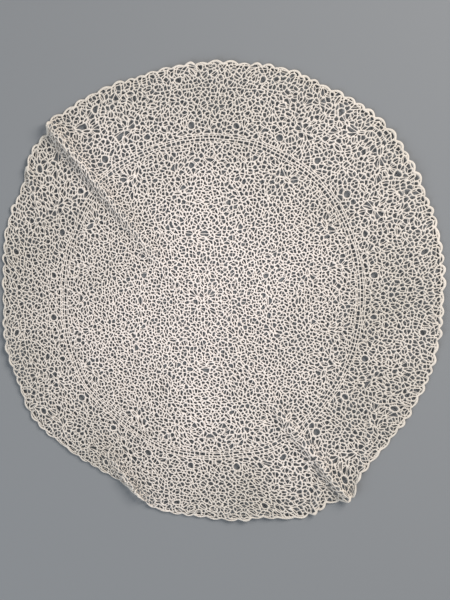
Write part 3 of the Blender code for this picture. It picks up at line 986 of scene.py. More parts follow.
# %% List the bars and hubs
cell_start = gap_cells + np.cumsum(cells_inside) - cells_inside
bar_figure, bar_end, bar_before, bar_after, bar_hub = ([] for _ in range(5))
hub_figure, hub_local, hub_bars = ([] for _ in range(3))
hubs = 0
for inside in INSIDES:
    mine = np.flatnonzero(pattern == NUMBER[inside.name])
    if inside.name == "open" or not len(mine):
        continue
    count, sectors = len(inside.ends), np.array(inside.sectors)
    bar_figure.append(np.repeat(mine, count))
    bar_end.append(np.tile(inside.ends, (len(mine), 1)))
    bar_before.append((cell_start[mine][:, None] + np.roll(sectors, 1)[None]).ravel())
    bar_after.append((cell_start[mine][:, None] + sectors[None]).ravel())
    hub_start = hubs + len(inside.hubs) * np.arange(len(mine))
    bar_hub.append((hub_start[:, None] + np.array(inside.hub_of)[None]).ravel())
    hub_figure.append(np.repeat(mine, len(inside.hubs)))
    hub_local.append(np.tile(np.array(inside.hubs, float), (len(mine), 1)))
    for one, other, left, right in inside.between:
        hub_bars.append(np.stack([hub_start + one, hub_start + other, cell_start[mine] + left,
                                  cell_start[mine] + right], axis=1))
    hubs += len(inside.hubs) * len(mine)
bar_figure, bar_end, bar_before, bar_after, bar_hub = map(
    np.concatenate, (bar_figure, bar_end, bar_before, bar_after, bar_hub))
hub_figure, hub_local, hub_bars = map(np.concatenate, (hub_figure, hub_local, hub_bars))
BARS = len(bar_figure)
figure_cells = int(cells_inside.sum())
print(figure_cells, "cells inside figures,", BARS + len(hub_bars), "bars")

# %% Fit them to each outline
UNEVEN_BARS = 9
UNEVEN_HUBS = 0.10
bar_turn = axis_turn[bar_figure] + np.degrees(np.arctan2(bar_end[:, 1] * aside[bar_figure],
                                                         bar_end[:, 0] * ahead[bar_figure]))
bar_turn += rng.uniform(-UNEVEN_BARS, UNEVEN_BARS, BARS)
hub_local = hub_local + rng.uniform(-UNEVEN_HUBS, UNEVEN_HUBS, hub_local.shape)
hub_local = hub_local * np.stack([ahead, aside], axis=1)[hub_figure]
hub_axis = ray(np.ones(hubs), axis_turn[hub_figure])
hub_at = CENTRES[hub_figure] + hub_local[:, :1] * hub_axis + hub_local[:, 1:] * left_of(hub_axis)
print(hubs, "hubs placed")

# %% [markdown]
# ## The braid
# Three lines of thread circle the doily, joined by two rows of rungs like a double ladder. The braid parts
# the dense middle from the more open border. One rung could be copied all round, but the lines aren't
# quite even, so each rung is tied to them at its own turn.

# %% Rungs of the braid
# Two rows of rungs join the braid's three lines. Each row closes on itself, so its cells are counted round.
BRAID_RUNGS = np.array([206, 240])
UNEVEN_RUNGS = 0.34
row_start = gap_cells + figure_cells + np.array([0, BRAID_RUNGS[0]])
real = gap_cells + figure_cells + int(BRAID_RUNGS.sum())
rung_row, rung_number = numbered(BRAID_RUNGS)
RUNGS = len(rung_row)
rungs_in_row = BRAID_RUNGS[rung_row]
rung_turn = (rung_number + rng.uniform(-UNEVEN_RUNGS, UNEVEN_RUNGS, RUNGS)) / rungs_in_row * 360
rung_after = row_start[rung_row] + rung_number
rung_before = row_start[rung_row] + (rung_number - 1) % rungs_in_row
print(RUNGS, "rungs of the braid,", real, "cells in all")

# %% [markdown]
# ## Joining up
# Every outline and line is a closed curve, and links, bars and rungs are tied to it at known turns. Sorted by
# turn, these ties cut the curve into sides. Each tie says which cell begins there, inside or outside
# the curve, and the sides that follow carry that on. So every side knows the cells to its left and right.
# Cells could be found by walking round each from side to side. Sorting does it for all of them at once.

# %% Ties on the curves
def turn_on(points, curve):
    """Direction of each point from the middle of its curve: a figure's centre, or the doily's for a line."""
    middle = np.where((curve < FIGURES)[:, None], CENTRES[np.minimum(curve, FIGURES - 1)], 0)
    return polar(points - middle)[1]


# A tie begins a new cell inside its curve, outside it or both. The braid's third line has its figures
# outside, so a link that reaches it ties on from outside, as it does on a figure.
LAST_BRAID_LINE = FIGURES + 2
NOTHING = -1
no_link, no_bar, no_rung = (np.full(count, NOTHING) for count in (LINKS, BARS, RUNGS))
from_outside = (link_right < FIGURES) | (link_right == LAST_BRAID_LINE)
inside_right = np.where(from_outside, NOTHING, after)
outside_right = np.where(from_outside, before, NOTHING)
left_turn, right_turn = turn_on(link_at, link_left), turn_on(link_at, link_right)
tie_curve = np.concatenate([link_left, link_right, bar_figure, FIGURES + rung_row, FIGURES + 1 + rung_row])
tie_turn = np.concatenate([left_turn, right_turn, bar_turn, rung_turn, rung_turn]) % 360
tie_inside = np.concatenate([no_link, inside_right, bar_after, no_rung, rung_after])
tie_outside = np.concatenate([after, outside_right, no_bar, rung_after, no_rung])
ties = len(tie_turn)
order = np.lexsort([tie_turn, tie_curve])
curve, turn = tie_curve[order], tie_turn[order]
first = np.searchsorted(curve, curve)
last = np.searchsorted(curve, curve, side="right") - 1
print(ties, "ties on", len(np.unique(curve)), "curves")


# %% The cells at each tie, and the side that follows it
def carried(begins, default):
    """For each tie in order, the cell that began at the last tie of its curve, up to it, that begins one."""
    mark = np.where(begins > NOTHING, np.arange(len(begins)), NOTHING)
    latest = np.maximum.accumulate(mark)
    latest = np.where(latest >= first, latest, latest[last])
    return np.where(latest >= first, begins[latest], default)


only_cell = np.append(cell_start, [real] * 4)[curve]
inside_cell = carried(tie_inside[order], only_cell)
outside_cell = carried(tie_outside[order], np.full(ties, real))
following = np.where(np.arange(ties) == last, first, np.arange(ties) + 1)
step = (turn[following] - turn) % 360
step[step == 0] = 360 * (first == last)[step == 0]
curve_half = curve_point(curve, turn + step / 2)
tie_at = np.zeros((ties, 2))
tie_at[order] = curve_point(curve, turn)
print("ties of a figure lie", round(float(np.median(step[curve < FIGURES])), 1), "degrees apart, as a rule")

# %% All sides of all cells
# Kinds of cord. The braid's first line is as thin as a link.
LINK, BAR, OUTLINE, LINE = range(4)
UNEVEN_BOW = 0.09
knots = np.concatenate([tie_at, hub_at])
first_rung = 2 * LINKS + BARS
link_ends = np.stack([LINKS + np.arange(LINKS), np.arange(LINKS)], axis=1)
bar_ends = np.stack([ties + bar_hub, 2 * LINKS + np.arange(BARS)], axis=1)
hub_ends = np.stack([ties + hub_bars[:, 1], ties + hub_bars[:, 0]], axis=1)
rung_ends = np.stack([first_rung + RUNGS + np.arange(RUNGS), first_rung + np.arange(RUNGS)], axis=1)
curve_ends = np.stack([order[following], order], axis=1)
straight_ends = np.concatenate([link_ends, bar_ends, hub_ends, rung_ends])
ends = np.concatenate([straight_ends, curve_ends])
cells = np.concatenate([
    np.stack([after, before], axis=1), np.stack([bar_before, bar_after], axis=1), hub_bars[:, 2:],
    np.stack([rung_after, rung_before], axis=1), np.stack([inside_cell, outside_cell], axis=1)])
curve_kind = np.select([curve < FIGURES, curve > FIGURES], [OUTLINE, LINE], LINK)
kind = np.append(np.repeat([LINK, BAR, LINE], [LINKS, BARS + len(hub_bars), RUNGS]), curve_kind)
between = knots[straight_ends[:, 1]] - knots[straight_ends[:, 0]]
bow = left_of(between) * rng.uniform(-UNEVEN_BOW, UNEVEN_BOW, len(between))[:, None]
halfway = np.concatenate([knots[straight_ends].mean(1) + bow, curve_half])
print(len(cells), "sides of cells")

# %% Knot ties that nearly touch
KNOT = 0.00075
short = lengths(knots[ends[:, 0]] - knots[ends[:, 1]]) < KNOT
short &= lengths(halfway - knots[ends[:, 0]]) < KNOT
knot = merged(len(knots), ends[short])
counts = np.maximum(np.bincount(knot, minlength=len(knots)), 1)
knots = gathered(knots, knot, len(knots)) / counts[:, None]
ends = knot[ends]
open_side = ends[:, 0] != ends[:, 1]
cells, ends, kind, halfway = cells[open_side], ends[open_side], kind[open_side], halfway[open_side]
print(int(short.sum()), "short sides knotted,", len(cells), "sides left")

# %% [markdown]
# ## Round holes and thick knots
# Thread pulls every hole round. In each cell we look out from its middle towards every corner and every
# side's halfway point: the hole's rim is where a soft minimum of the distances to the cell's sides falls,
# less half a cord. Where cords meet at a corner the rim stays away from it, so the thread lies thick there,
# as it does in real lace. Corners could be cut off at a set radius, but that fails in narrow cells.

# %% Sides of each cell, in order round it
Cord = namedtuple("Cord", "name half_width height")
CORDS = [Cord("link", 0.00050, 0.00125), Cord("bar", 0.00045, 0.00115), Cord("outline", 0.00074, 0.00185),
         Cord("line", 0.00062, 0.00160)]
UNEVEN_WIDTH = (0.84, 1.18)
half_width, height = np.array([(cord.half_width, cord.height) for cord in CORDS]).T
side_half = half_width[kind] * rng.uniform(*UNEVEN_WIDTH, len(cells))
side_high = height[kind]
half_cell = np.concatenate([cells[:, 0], cells[:, 1]])
half_from = np.concatenate([ends[:, 1], ends[:, 0]])
half_to = np.concatenate([ends[:, 0], ends[:, 1]])
half_side = np.tile(np.arange(len(cells)), 2)
half_way = np.repeat([1, -1], len(cells))
order = np.argsort(half_cell, kind="stable")
order = order[half_cell[order] < real]
half_cell, half_from, half_to = half_cell[order], half_from[order], half_to[order]
half_side, half_way = half_side[order], half_way[order]
a, m, b = knots[half_from], halfway[half_side], knots[half_to]
corner_count = np.maximum(2 * np.bincount(half_cell, minlength=real), 1)
seed = (gathered(a + m, half_cell, real) / corner_count[:, None])[half_cell]
print(len(half_cell), "sides seen from their cells,", round(len(half_cell) / real, 1), "a cell")

# %% Middle of each cell
first_area, second_area = cross(a - seed, m - seed) / 2, cross(m - seed, b - seed) / 2
pull = first_area[:, None] * (a + m + seed) / 3 + second_area[:, None] * (m + b + seed) / 3
area = gathered(first_area + second_area, half_cell, real)
area = np.where(np.abs(area) > 1e-9, area, 1e-9)
cell_middle = gathered(pull, half_cell, real) / area
is_named = np.zeros(real, bool)
is_named[cell_start[stated]] = True
cell_middle[cell_start[named]] = CENTRES[named]
in_middle = np.zeros(real, bool)
in_middle[:gap_cells] = middle_gap
in_middle[gap_cells:gap_cells + figure_cells] = np.repeat(~outer_zone, cells_inside)
turning = cross(a - cell_middle[half_cell], m - cell_middle[half_cell])
print("sides that run the right way round:", round(float((turning > 0).mean()), 4))
print("cells of", in_square_mm(area.mean()), "square mm;", int(is_named.sum()), "eyes kept fully open")


# %% Rim of each hole
ROUNDNESS = 4.5
EYE_OPEN = 0.00334
EYE_MOST_OPEN = 0.93
MOST_OPEN = 0.86
LEAST_RIM = 0.00016
LEAST_FACING = 0.02
WINDOW = 0.30
PART_WEIGHT = 0.5


def rim_radius(middle, spots, starts, stops, half, owner, count):
    """Distance from a cell's middle to its hole's rim towards each spot. Each side's line, moved in by half a
    cord, gives a distance in that direction. The rim is their soft minimum, a power mean of power -4.5, over
    the sides in view: a side's weight fades to 0 through a small window past its own ends. Each side is given
    in two straight parts, so each part has half the weight."""
    table, there = table_by_owner(owner, count)
    table, there = table[owner], there[owner]
    outward = -left_of(unit(stops - starts))
    clear = np.maximum((outward * (starts - middle[owner])).sum(1) - half, LEAST_RIM)
    reach = lengths(spots - middle[owner])
    sight = (spots - middle[owner]) / reach[:, None]
    facing = (sight[:, None] * outward[table]).sum(2)
    share = np.where(there & (facing > LEAST_FACING), np.maximum(facing, LEAST_FACING) / clear[table], 0)
    toward = (starts + stops) / 2 - middle[owner]
    toward /= np.maximum(lengths(toward), 1e-9)[:, None]
    spread = (toward * sight).sum(1)
    seen = (sight[:, None] * toward[table]).sum(2)
    window = np.clip(1 + (seen - spread[table]) / WINDOW, 0, 1)
    total = np.maximum((PART_WEIGHT * window * share**ROUNDNESS).sum(1), 1e-30)
    radius = total ** (-1 / ROUNDNESS)
    return np.clip(radius, LEAST_RIM, MOST_OPEN * reach), reach


# Two spots a side: its start and its halfway point, with the two straight parts that follow them.
spot = np.stack([a, m], axis=1).reshape(-1, 2)
spot_end = np.stack([m, b], axis=1).reshape(-1, 2)
spot_cell = np.repeat(half_cell, 2)
spot_half = np.repeat(side_half[half_side], 2)
radius, reach = rim_radius(cell_middle, spot, spot, spot_end, spot_half, spot_cell, real)
sight = (spot - cell_middle[spot_cell]) / reach[:, None]
opened = np.maximum(radius, np.minimum(EYE_OPEN, EYE_MOST_OPEN * reach))
radius = np.where(is_named[spot_cell], opened, radius)
rim = cell_middle[spot_cell] + sight * radius[:, None]
print("holes are", in_mm(2 * radius.mean(), 2), "mm across on average")

# %% [markdown]
# ## From a flat drawing to rounded cord
# Every side gets the same few strips of faces: from the ridge of the cord down a shoulder to the hole's rim,
# and back under it to the cord's underside. Both cells at a side share its ridge, so the cord is
# one closed rounded bar, and knots come out thick. Each cord could be a tube, but tubes would cut through
# each other at every knot. All strips of the whole net are made in one go.

# %% Strips of the net
# Points are listed in six runs: the knots and halfway points on the ridges, the same on the underside, then
# the shoulders and the rims, of which each cell has its own.
SHOULDER = 0.52
SHOULDER_HIGH = 0.88
RIM_HIGH = 0.42
knot_high = np.zeros(len(knots))
np.maximum.at(knot_high, ends[:, 0], side_high)
np.maximum.at(knot_high, ends[:, 1], side_high)
spot_high = np.stack([knot_high[half_from], side_high[half_side]], axis=1).ravel()
shoulder = spot + SHOULDER * (rim - spot)
flat = np.concatenate([knots, halfway, knots, halfway, shoulder, rim])
lift = np.concatenate([knot_high, side_high, 0 * knot_high, 0 * side_high, SHOULDER_HIGH * spot_high,
                       RIM_HIGH * spot_high])
HALFWAYS = len(knots)
UNDERSIDE = HALFWAYS + len(halfway)
SHOULDERS = 2 * UNDERSIDE
RIMS = SHOULDERS + len(spot)
top = np.stack([half_from, HALFWAYS + half_side], axis=1).ravel()
top_next = np.stack([HALFWAYS + half_side, half_to], axis=1).ravel()
key = half_cell.astype(np.int64) * len(knots)
order = np.argsort(key + half_from)
after = order[np.searchsorted((key + half_from)[order], key + half_to)]
here = np.arange(len(spot))
here_next = np.stack([2 * np.arange(len(half_cell)) + 1, 2 * after], axis=1).ravel()
rows_of_points = [(top, top_next), (SHOULDERS + here, SHOULDERS + here_next), (RIMS + here, RIMS + here_next),
                  (UNDERSIDE + top, UNDERSIDE + top_next)]
strips = np.stack([np.stack([upper, upper_next, lower_next, lower], axis=1)
                   for (upper, upper_next), (lower, lower_next) in zip(rows_of_points, rows_of_points[1:])])
print(strips.shape[0] * strips.shape[1] * 2, "triangles in the net's strips,", len(flat), "points")

# %% [markdown]
# ## Folding the net, and a map for its thread
# Now the flat drawing is laid on the folded sheet. Blender could work out the normals of each piece later,
# but seams would show between pieces, so they are worked out here, on the whole net. The map of lengths
# along and across each cord comes from the flat drawing, so wound thread keeps its pitch over the folds.


# %% Points and normals of the folded net
net_points = lay(flat, lift)


def face_normals(points, quads):
    """Area-weighted normal of each four-cornered face: the cross product of its diagonals."""
    a, b, c, d = points[quads].transpose(1, 0, 2)
    return np.cross(c - a, d - b)


quads = strips.reshape(-1, 4)
push = face_normals(net_points, quads)
net_normals = unit(sum(gathered(push, quads[:, k], len(net_points)) for k in range(4)))
print("folded net spans in mm:", in_mm(np.ptp(net_points[np.unique(quads)], axis=0)))

# %% Thread maps of the net
# The map runs in millimetres along each cord and across it from its ridge, so thread can be wound on it.
side_length = 1000 * (lengths(m - a) + lengths(b - m)) / 2
u_start = np.stack([-side_length, 0 * side_length], axis=1).ravel()
u_stop = np.stack([0 * side_length, side_length], axis=1).ravel()
to_shoulder = 1000 * lengths(shoulder - spot)
to_rim = to_shoulder + 1000 * lengths(rim - shoulder)
v_rows = np.stack([0 * to_rim, to_shoulder, to_rim, 2 * to_rim])
corner_u = np.stack([u_start, u_stop, u_stop, u_start], axis=1)
corner_v = np.stack([v_rows[:-1], v_rows[:-1, here_next], v_rows[1:, here_next], v_rows[1:]], axis=2)
way = np.repeat(half_way, 2)[:, None]
thread_map = np.stack([np.broadcast_to(corner_u * way, corner_v.shape), corner_v * way], axis=3)
print("cords are wound over", round(float(side_length.sum() / 1000), 1), "metres")

# %% [markdown]
# ## Cutting the net into pieces
# One mesh of the whole net would be too heavy to edit, so it is kept as four quarters of the middle and four
# of the border. They are cut along the ridges of cords. Each cut gets a wall, so every piece is closed,
# and keeps the normals of the whole net, so no seam shows where two quarters meet.


# %% Make one mesh
def make_mesh(name, points, quads, normals, maps):
    """A smooth mesh from four-cornered faces, with a value at each face corner for every named map."""
    mesh = bpy.data.meshes.new(name)
    mesh.vertices.add(len(points))
    mesh.vertices.foreach_set("co", points.astype(np.float32).ravel())
    mesh.loops.add(quads.size)
    mesh.loops.foreach_set("vertex_index", quads.astype(np.int32).ravel())
    mesh.polygons.add(len(quads))
    mesh.polygons.foreach_set("loop_start", np.arange(0, quads.size, 4, dtype=np.int32))
    mesh.update(calc_edges=True)
    for label, values in maps.items():
        layer = mesh.uv_layers.new(name=label, do_init=False)
        layer.uv.foreach_set("vector", values.astype(np.float32).ravel())
    mesh.polygons.foreach_set("use_smooth", np.ones(len(quads), bool))
    if normals is not None:
        mesh.normals_split_custom_set_from_vertices(normals.astype(np.float32))
    piece = bpy.data.objects.new(name, mesh)
    bpy.context.scene.collection.objects.link(piece)
    return piece


MAP_MARGIN = 2.02


def flat_map(flat):
    """Place on the flat doily as a map from 0 to 1 both ways."""
    return 0.5 + flat / (MAP_MARGIN * FLAT_RADIUS)


print("the map puts the flat middle at", flat_map(np.zeros(2)))


# %% Cut out one piece of the net
def net_piece(name, mine):
    """The strips of the chosen cells, and a wall at each side whose other cell belongs to another piece."""
    chosen = np.append(mine, False)
    halves = mine[half_cell]
    spots = np.repeat(halves, 2)
    other = np.where(half_way > 0, cells[half_side, 1], cells[half_side, 0])
    cut = np.repeat(halves & ~chosen[other], 2)
    wall = np.stack([top[cut], top[cut] + UNDERSIDE, top_next[cut] + UNDERSIDE, top_next[cut]], axis=1)
    faces = np.concatenate([strips[:, spots].reshape(-1, 4), wall])
    threads = np.concatenate([thread_map[:, spots].reshape(-1, 4, 2), np.zeros((len(wall), 4, 2))])
    used, faces_here = np.unique(faces, return_inverse=True)
    faces_here = faces_here.reshape(faces.shape)
    maps = {"thread": threads, "OFBake": flat_map(flat)[faces]}
    piece = make_mesh(name, net_points[used], faces_here, net_normals[used], maps)
    span = np.ptp(flat[used], axis=0)
    piece["flat_size"] = [float(span[0]), float(span[1])]
    piece["flat_area"] = float(area[:, 0][mine].sum())
    print(name, len(faces) * 2, "triangles,", round(1e4 * piece["flat_area"]), "square cm of flat cloth")
    return piece


quarter = ((polar(cell_middle)[1] + 45) % 360 // 90).astype(int)
QUARTERS = ("east", "north", "west", "south")
net = [net_piece(f"middle_net_{q}", in_middle & (quarter == k)) for k, q in enumerate(QUARTERS)]
net += [net_piece(f"border_net_{q}", ~in_middle & (quarter == k)) for k, q in enumerate(QUARTERS)]

# %% [markdown]
# ## The scalloped edge cord
# The edge is bound with a thicker cord, closely wound with thread. It is a round profile carried along
# the scalloped line: one parameter runs round the doily, the other round the cord. It is laid with the
# same folds as the net and swallows the net's outermost ridges. A curve with a round bevel could do, but
# then its points wouldn't go through the same mapping.

# %% Carry a round profile along the edge
EDGE_HALF_WIDTH = 0.00126
EDGE_HALF_HEIGHT = 0.00092
AROUND = 14
PER_SCALLOP = 14
SCALLOP_WAIST = 0.14
WAIST_POWER = 6
UNEVEN_CORD = 0.11
CORD_WAVES = (37, 93)
OVAL_GIRTH = 0.85


def edge_cord():
    """Point = edge line + across times cos(v) along the line's flat normal, lifted by half height times
    (1 + sin(v)). The cord is a little thinner where two scallops meet, and two waves round the doily make
    it uneven."""
    turn = np.arange(SCALLOPS * PER_SCALLOP) / (SCALLOPS * PER_SCALLOP)
    degrees = scallop_direction(turn)
    line = ray(scallop_edge(degrees) - EDGE_LINE_IN, degrees)
    line = (np.roll(line, 1, axis=0) + 2 * line + np.roll(line, -1, axis=0)) / 4
    normal = -left_of(unit(np.roll(line, -1, axis=0) - np.roll(line, 1, axis=0)))
    waves = sum(np.sin(2 * np.pi * turn * count) for count in CORD_WAVES)
    from_crown = np.abs(2 * ((turn * SCALLOPS) % 1) - 1)
    waist = 1 - SCALLOP_WAIST * from_crown**WAIST_POWER + UNEVEN_CORD * waves
    v = 2 * np.pi * np.arange(AROUND) / AROUND
    flat = line[:, None] + normal[:, None] * (EDGE_HALF_WIDTH * waist[:, None] * np.cos(v)[None])[..., None]
    lift = EDGE_HALF_HEIGHT * waist[:, None] * (1 + np.sin(v)[None])
    points = lay(flat.reshape(-1, 2), lift.ravel())
    i, j = np.meshgrid(np.arange(len(turn)), np.arange(AROUND), indexing="ij")
    i_next, j_next = (i + 1) % len(turn), (j + 1) % AROUND
    corners = [(i, j), (i_next, j), (i_next, j_next), (i, j_next)]
    quads = np.stack([(r * AROUND + c).ravel() for r, c in corners], axis=1)
    run = 1000 * np.append(0, np.cumsum(lengths(np.diff(line, axis=0, append=line[:1]))))
    girth = 1000 * EDGE_HALF_WIDTH * 2 * np.pi / AROUND * OVAL_GIRTH
    u = np.stack([run[i], run[i + 1], run[i + 1], run[i]], axis=2).reshape(-1, 4)
    w = girth * np.stack([j, j, j + 1, j + 1], axis=2).reshape(-1, 4)
    maps = {"thread": np.stack([u, w], axis=2), "OFBake": flat_map(flat.reshape(-1, 2))[quads]}
    print("edge cord:", round(run[-1] / 1000, 2), "metres long,", len(quads) * 2, "triangles")
    return make_mesh("scalloped_edge", points, quads, None, maps)


edge = edge_cord()
corners = np.array([[edge.data.vertices[i].co for i in face.vertices[:3]] for face in edge.data.polygons])
print("its faces point outwards:", bool(np.linalg.det(corners).sum() > 0))

# %% [markdown]
# ## Ivory thread
# Crochet and lace thread is cotton, twisted from plies and wound round the cords. Close up it shows slanting
# ridges; further off it is a matt, slightly uneven ivory. It has yellowed a little more towards the edge,
# where the doily was handled, and is painted darker there as well, as painted shade for light that falls off
# towards the edge. The grooves between the turns of thread are painted grey, as painted shade. A tiled
# pattern could be laid on it. Patterns worked out by formulas are chosen, because they stay sharp close up
# and don't repeat.
# The winding and the tone are effects of their own, made as two node groups with named sockets.


# %% Helpers for node groups
def new_group(name, inputs, outputs):
    """An empty shader node group with these named sockets, as (name, kind, value) in and (name, kind) out."""
    group = bpy.data.node_groups.new(name, "ShaderNodeTree")
    for label, kind, value in inputs:
        socket = group.interface.new_socket(label, in_out="INPUT", socket_type="NodeSocket" + kind)
        if value is not None:
            socket.default_value = value
    for label, kind in outputs:
        group.interface.new_socket(label, in_out="OUTPUT", socket_type="NodeSocket" + kind)
    return group, group.nodes.new("NodeGroupInput"), group.nodes.new("NodeGroupOutput")


def add_math(tree, operation, first, second=None, third=None):
    """A math node with numbers or sockets as its values; gives its output."""
    node = tree.nodes.new("ShaderNodeMath")
    node.operation = operation
    for socket, value in zip(node.inputs, (first, second, third)):
        if isinstance(value, (int, float)):
            socket.default_value = value
        elif value is not None:
            tree.links.new(value, socket)
    return node.outputs[0]


def add_mix(tree, share, first, second, blend="MIX"):
    """A colour mix of two colours or sockets by a share; gives its output."""
    node = tree.nodes.new("ShaderNodeMix")
    node.data_type = "RGBA"
    node.blend_type = blend
    for socket, value in ((node.inputs[0], share), (node.inputs[6], first), (node.inputs[7], second)):
        if isinstance(value, bpy.types.NodeSocket):
            tree.links.new(value, socket)
        else:
            socket.default_value = value
    return node.outputs[2]


def add_noise(tree, vector, scale, detail=2.0):
    """A noise pattern's value, about a half on average, at features of 1 / scale metres."""
    node = tree.nodes.new("ShaderNodeTexNoise")
    node.inputs["Scale"].default_value = scale
    node.inputs["Detail"].default_value = detail
    tree.links.new(vector, node.inputs["Vector"])
    return node.outputs["Fac"]


print("node groups so far:", len(bpy.data.node_groups))

# %% [markdown]
# ### Wound thread
# Each cord is bound with thread that is wound slantwise round it. Every turn could be modelled, but there
# are well over a hundred thousand. A bump from a formula on the cord's own map shows them well enough.

# %% The wound thread's height
DRIFT_SCALE, DRIFT_SHARE = 700.0, 0.5
FUZZ_SCALE, FUZZ_DETAIL = 4200.0, 3.0


def wound_thread_group():
    """Height of thread wound slantwise on a cord: the absolute sine of pi times turns per millimetre times
    (along + slant times across + half a noise), plus fuzz times a finer noise. Groove is one minus that sine,
    so it is highest where two turns meet."""
    group, given, result = new_group(
        "wound thread",
        [("Thread Map", "Vector", None), ("Place", "Vector", None), ("Turns per mm", "Float", 1.6),
         ("Slant", "Float", 0.5), ("Fuzz", "Float", 0.35)],
        [("Height", "Float"), ("Groove", "Float")],
    )
    parts = group.nodes.new("ShaderNodeSeparateXYZ")
    group.links.new(given.outputs["Thread Map"], parts.inputs[0])
    slanted = add_math(group, "MULTIPLY_ADD", parts.outputs["Y"], given.outputs["Slant"], parts.outputs["X"])
    noise = add_noise(group, given.outputs["Place"], DRIFT_SCALE)
    drifting = add_math(group, "MULTIPLY_ADD", noise, DRIFT_SHARE, slanted)
    turns = add_math(group, "MULTIPLY", drifting, given.outputs["Turns per mm"])
    wave = add_math(group, "ABSOLUTE", add_math(group, "SINE", add_math(group, "MULTIPLY", turns, np.pi)))
    noise = add_noise(group, given.outputs["Place"], FUZZ_SCALE, FUZZ_DETAIL)
    fuzz = add_math(group, "MULTIPLY", noise, given.outputs["Fuzz"])
    group.links.new(add_math(group, "ADD", wave, fuzz), result.inputs["Height"])
    group.links.new(add_math(group, "SUBTRACT", 1.0, wave), result.inputs["Groove"])
    return group


WOUND_THREAD = wound_thread_group()
print("group:", WOUND_THREAD.name)

# %% [markdown]
# ### Aged tone and painted shade
# Old cotton isn't one colour: it is a pinkish ivory in the middle, creamier at the border, and grey where
# dirt has settled. The border is also painted darker, as painted shade for light that falls off towards the
# edge, and the grooves between turns of thread are painted grey as painted shade. One flat colour would look
# like plastic. The distance from the flat middle, two noises and the grooves mix three colours instead.

# %% The aged colour, with painted shade
# Each share is a value times a factor plus a start: the border colour, creamy and painted darker, by the way
# outwards and by a broad noise, and soil by small spots. Then soil and the painted shade of the grooves grey
# the ivory by their own shares.
CREAM_AND_SHADE_RISE, CREAM_AND_SHADE_START = 2.6, -0.36
BROAD_SCALE, BROAD_SHARE, BROAD_START = 9.0, 1.4, -0.70
SPOT_SCALE, SPOT_DETAIL, SPOT_SHARE, SPOT_START = 230.0, 3.0, 1.1, -0.30
# The groove share greys the grooves between turns of thread: painted shade.
SOIL_SHARE, GROOVE_SHADE_SHARE = 0.35, 0.22
ROUGH_SPAN, ROUGH_LEAST = 0.16, 0.76


def aged_tone_and_painted_shade_group():
    """Ivory that varies: the pinkish ivory of the middle turns creamy, and darker as painted shade, with the
    distance from the flat middle and with a broad noise. Small spots are greyer with soil, and grooves greyer
    as painted shade."""
    group, given, result = new_group(
        "aged tone",
        [("Place", "Vector", None), ("Flat Map", "Vector", None), ("Middle", "Color", (1, 1, 1, 1)),
         ("Border", "Color", (1, 1, 1, 1)), ("Soil and Groove Shade", "Color", (1, 1, 1, 1)), ("Groove", "Float", 0.0)],
        [("Color", "Color"), ("Roughness", "Float")],
    )
    centre = group.nodes.new("ShaderNodeVectorMath")
    centre.operation = "DISTANCE"
    centre.inputs[1].default_value = (0.5, 0.5, 0.0)
    group.links.new(given.outputs["Flat Map"], centre.inputs[0])
    outward = add_math(group, "MULTIPLY_ADD", centre.outputs["Value"], CREAM_AND_SHADE_RISE, CREAM_AND_SHADE_START)
    broad = add_noise(group, given.outputs["Place"], BROAD_SCALE)
    share = add_math(group, "ADD", outward, add_math(group, "MULTIPLY_ADD", broad, BROAD_SHARE, BROAD_START))
    share.node.use_clamp = True
    # Painted shade: the border colour is darker than yellowing alone makes it, for light that falls off
    # towards the edge.
    ivory = add_mix(group, share, given.outputs["Middle"], given.outputs["Border"])
    spots = add_noise(group, given.outputs["Place"], SPOT_SCALE, SPOT_DETAIL)
    soil = add_math(group, "MULTIPLY_ADD", spots, SPOT_SHARE, SPOT_START)
    soil.node.use_clamp = True
    dirt = add_math(group, "MULTIPLY", soil, SOIL_SHARE)
    # Painted shade: the grooves between turns of thread are greyed towards the soil colour, together with the
    # real soil spots.
    soil_and_groove_shade = add_math(group, "ADD", dirt, add_math(group, "MULTIPLY", given.outputs["Groove"], GROOVE_SHADE_SHARE))
    soil_and_groove_shade.node.use_clamp = True
    group.links.new(add_mix(group, soil_and_groove_shade, ivory, given.outputs["Soil and Groove Shade"]), result.inputs["Color"])
    rough = add_math(group, "MULTIPLY_ADD", spots, ROUGH_SPAN, ROUGH_LEAST)
    group.links.new(rough, result.inputs["Roughness"])
    return group


AGED_TONE_AND_PAINTED_SHADE = aged_tone_and_painted_shade_group()
print("group:", AGED_TONE_AND_PAINTED_SHADE.name)

# %% [markdown]
# ### The thread's material
# Both effects meet in one matt material with a faint sheen, as cotton has. One material could serve the whole
# doily, but the edge is bound with thicker thread, so the edge cord has its own, with fewer turns.

# %% The thread material
BUMP_STRENGTH = 0.6
SHEEN, SHEEN_ROUGHNESS = 0.20, 0.5
SHINE = 0.3


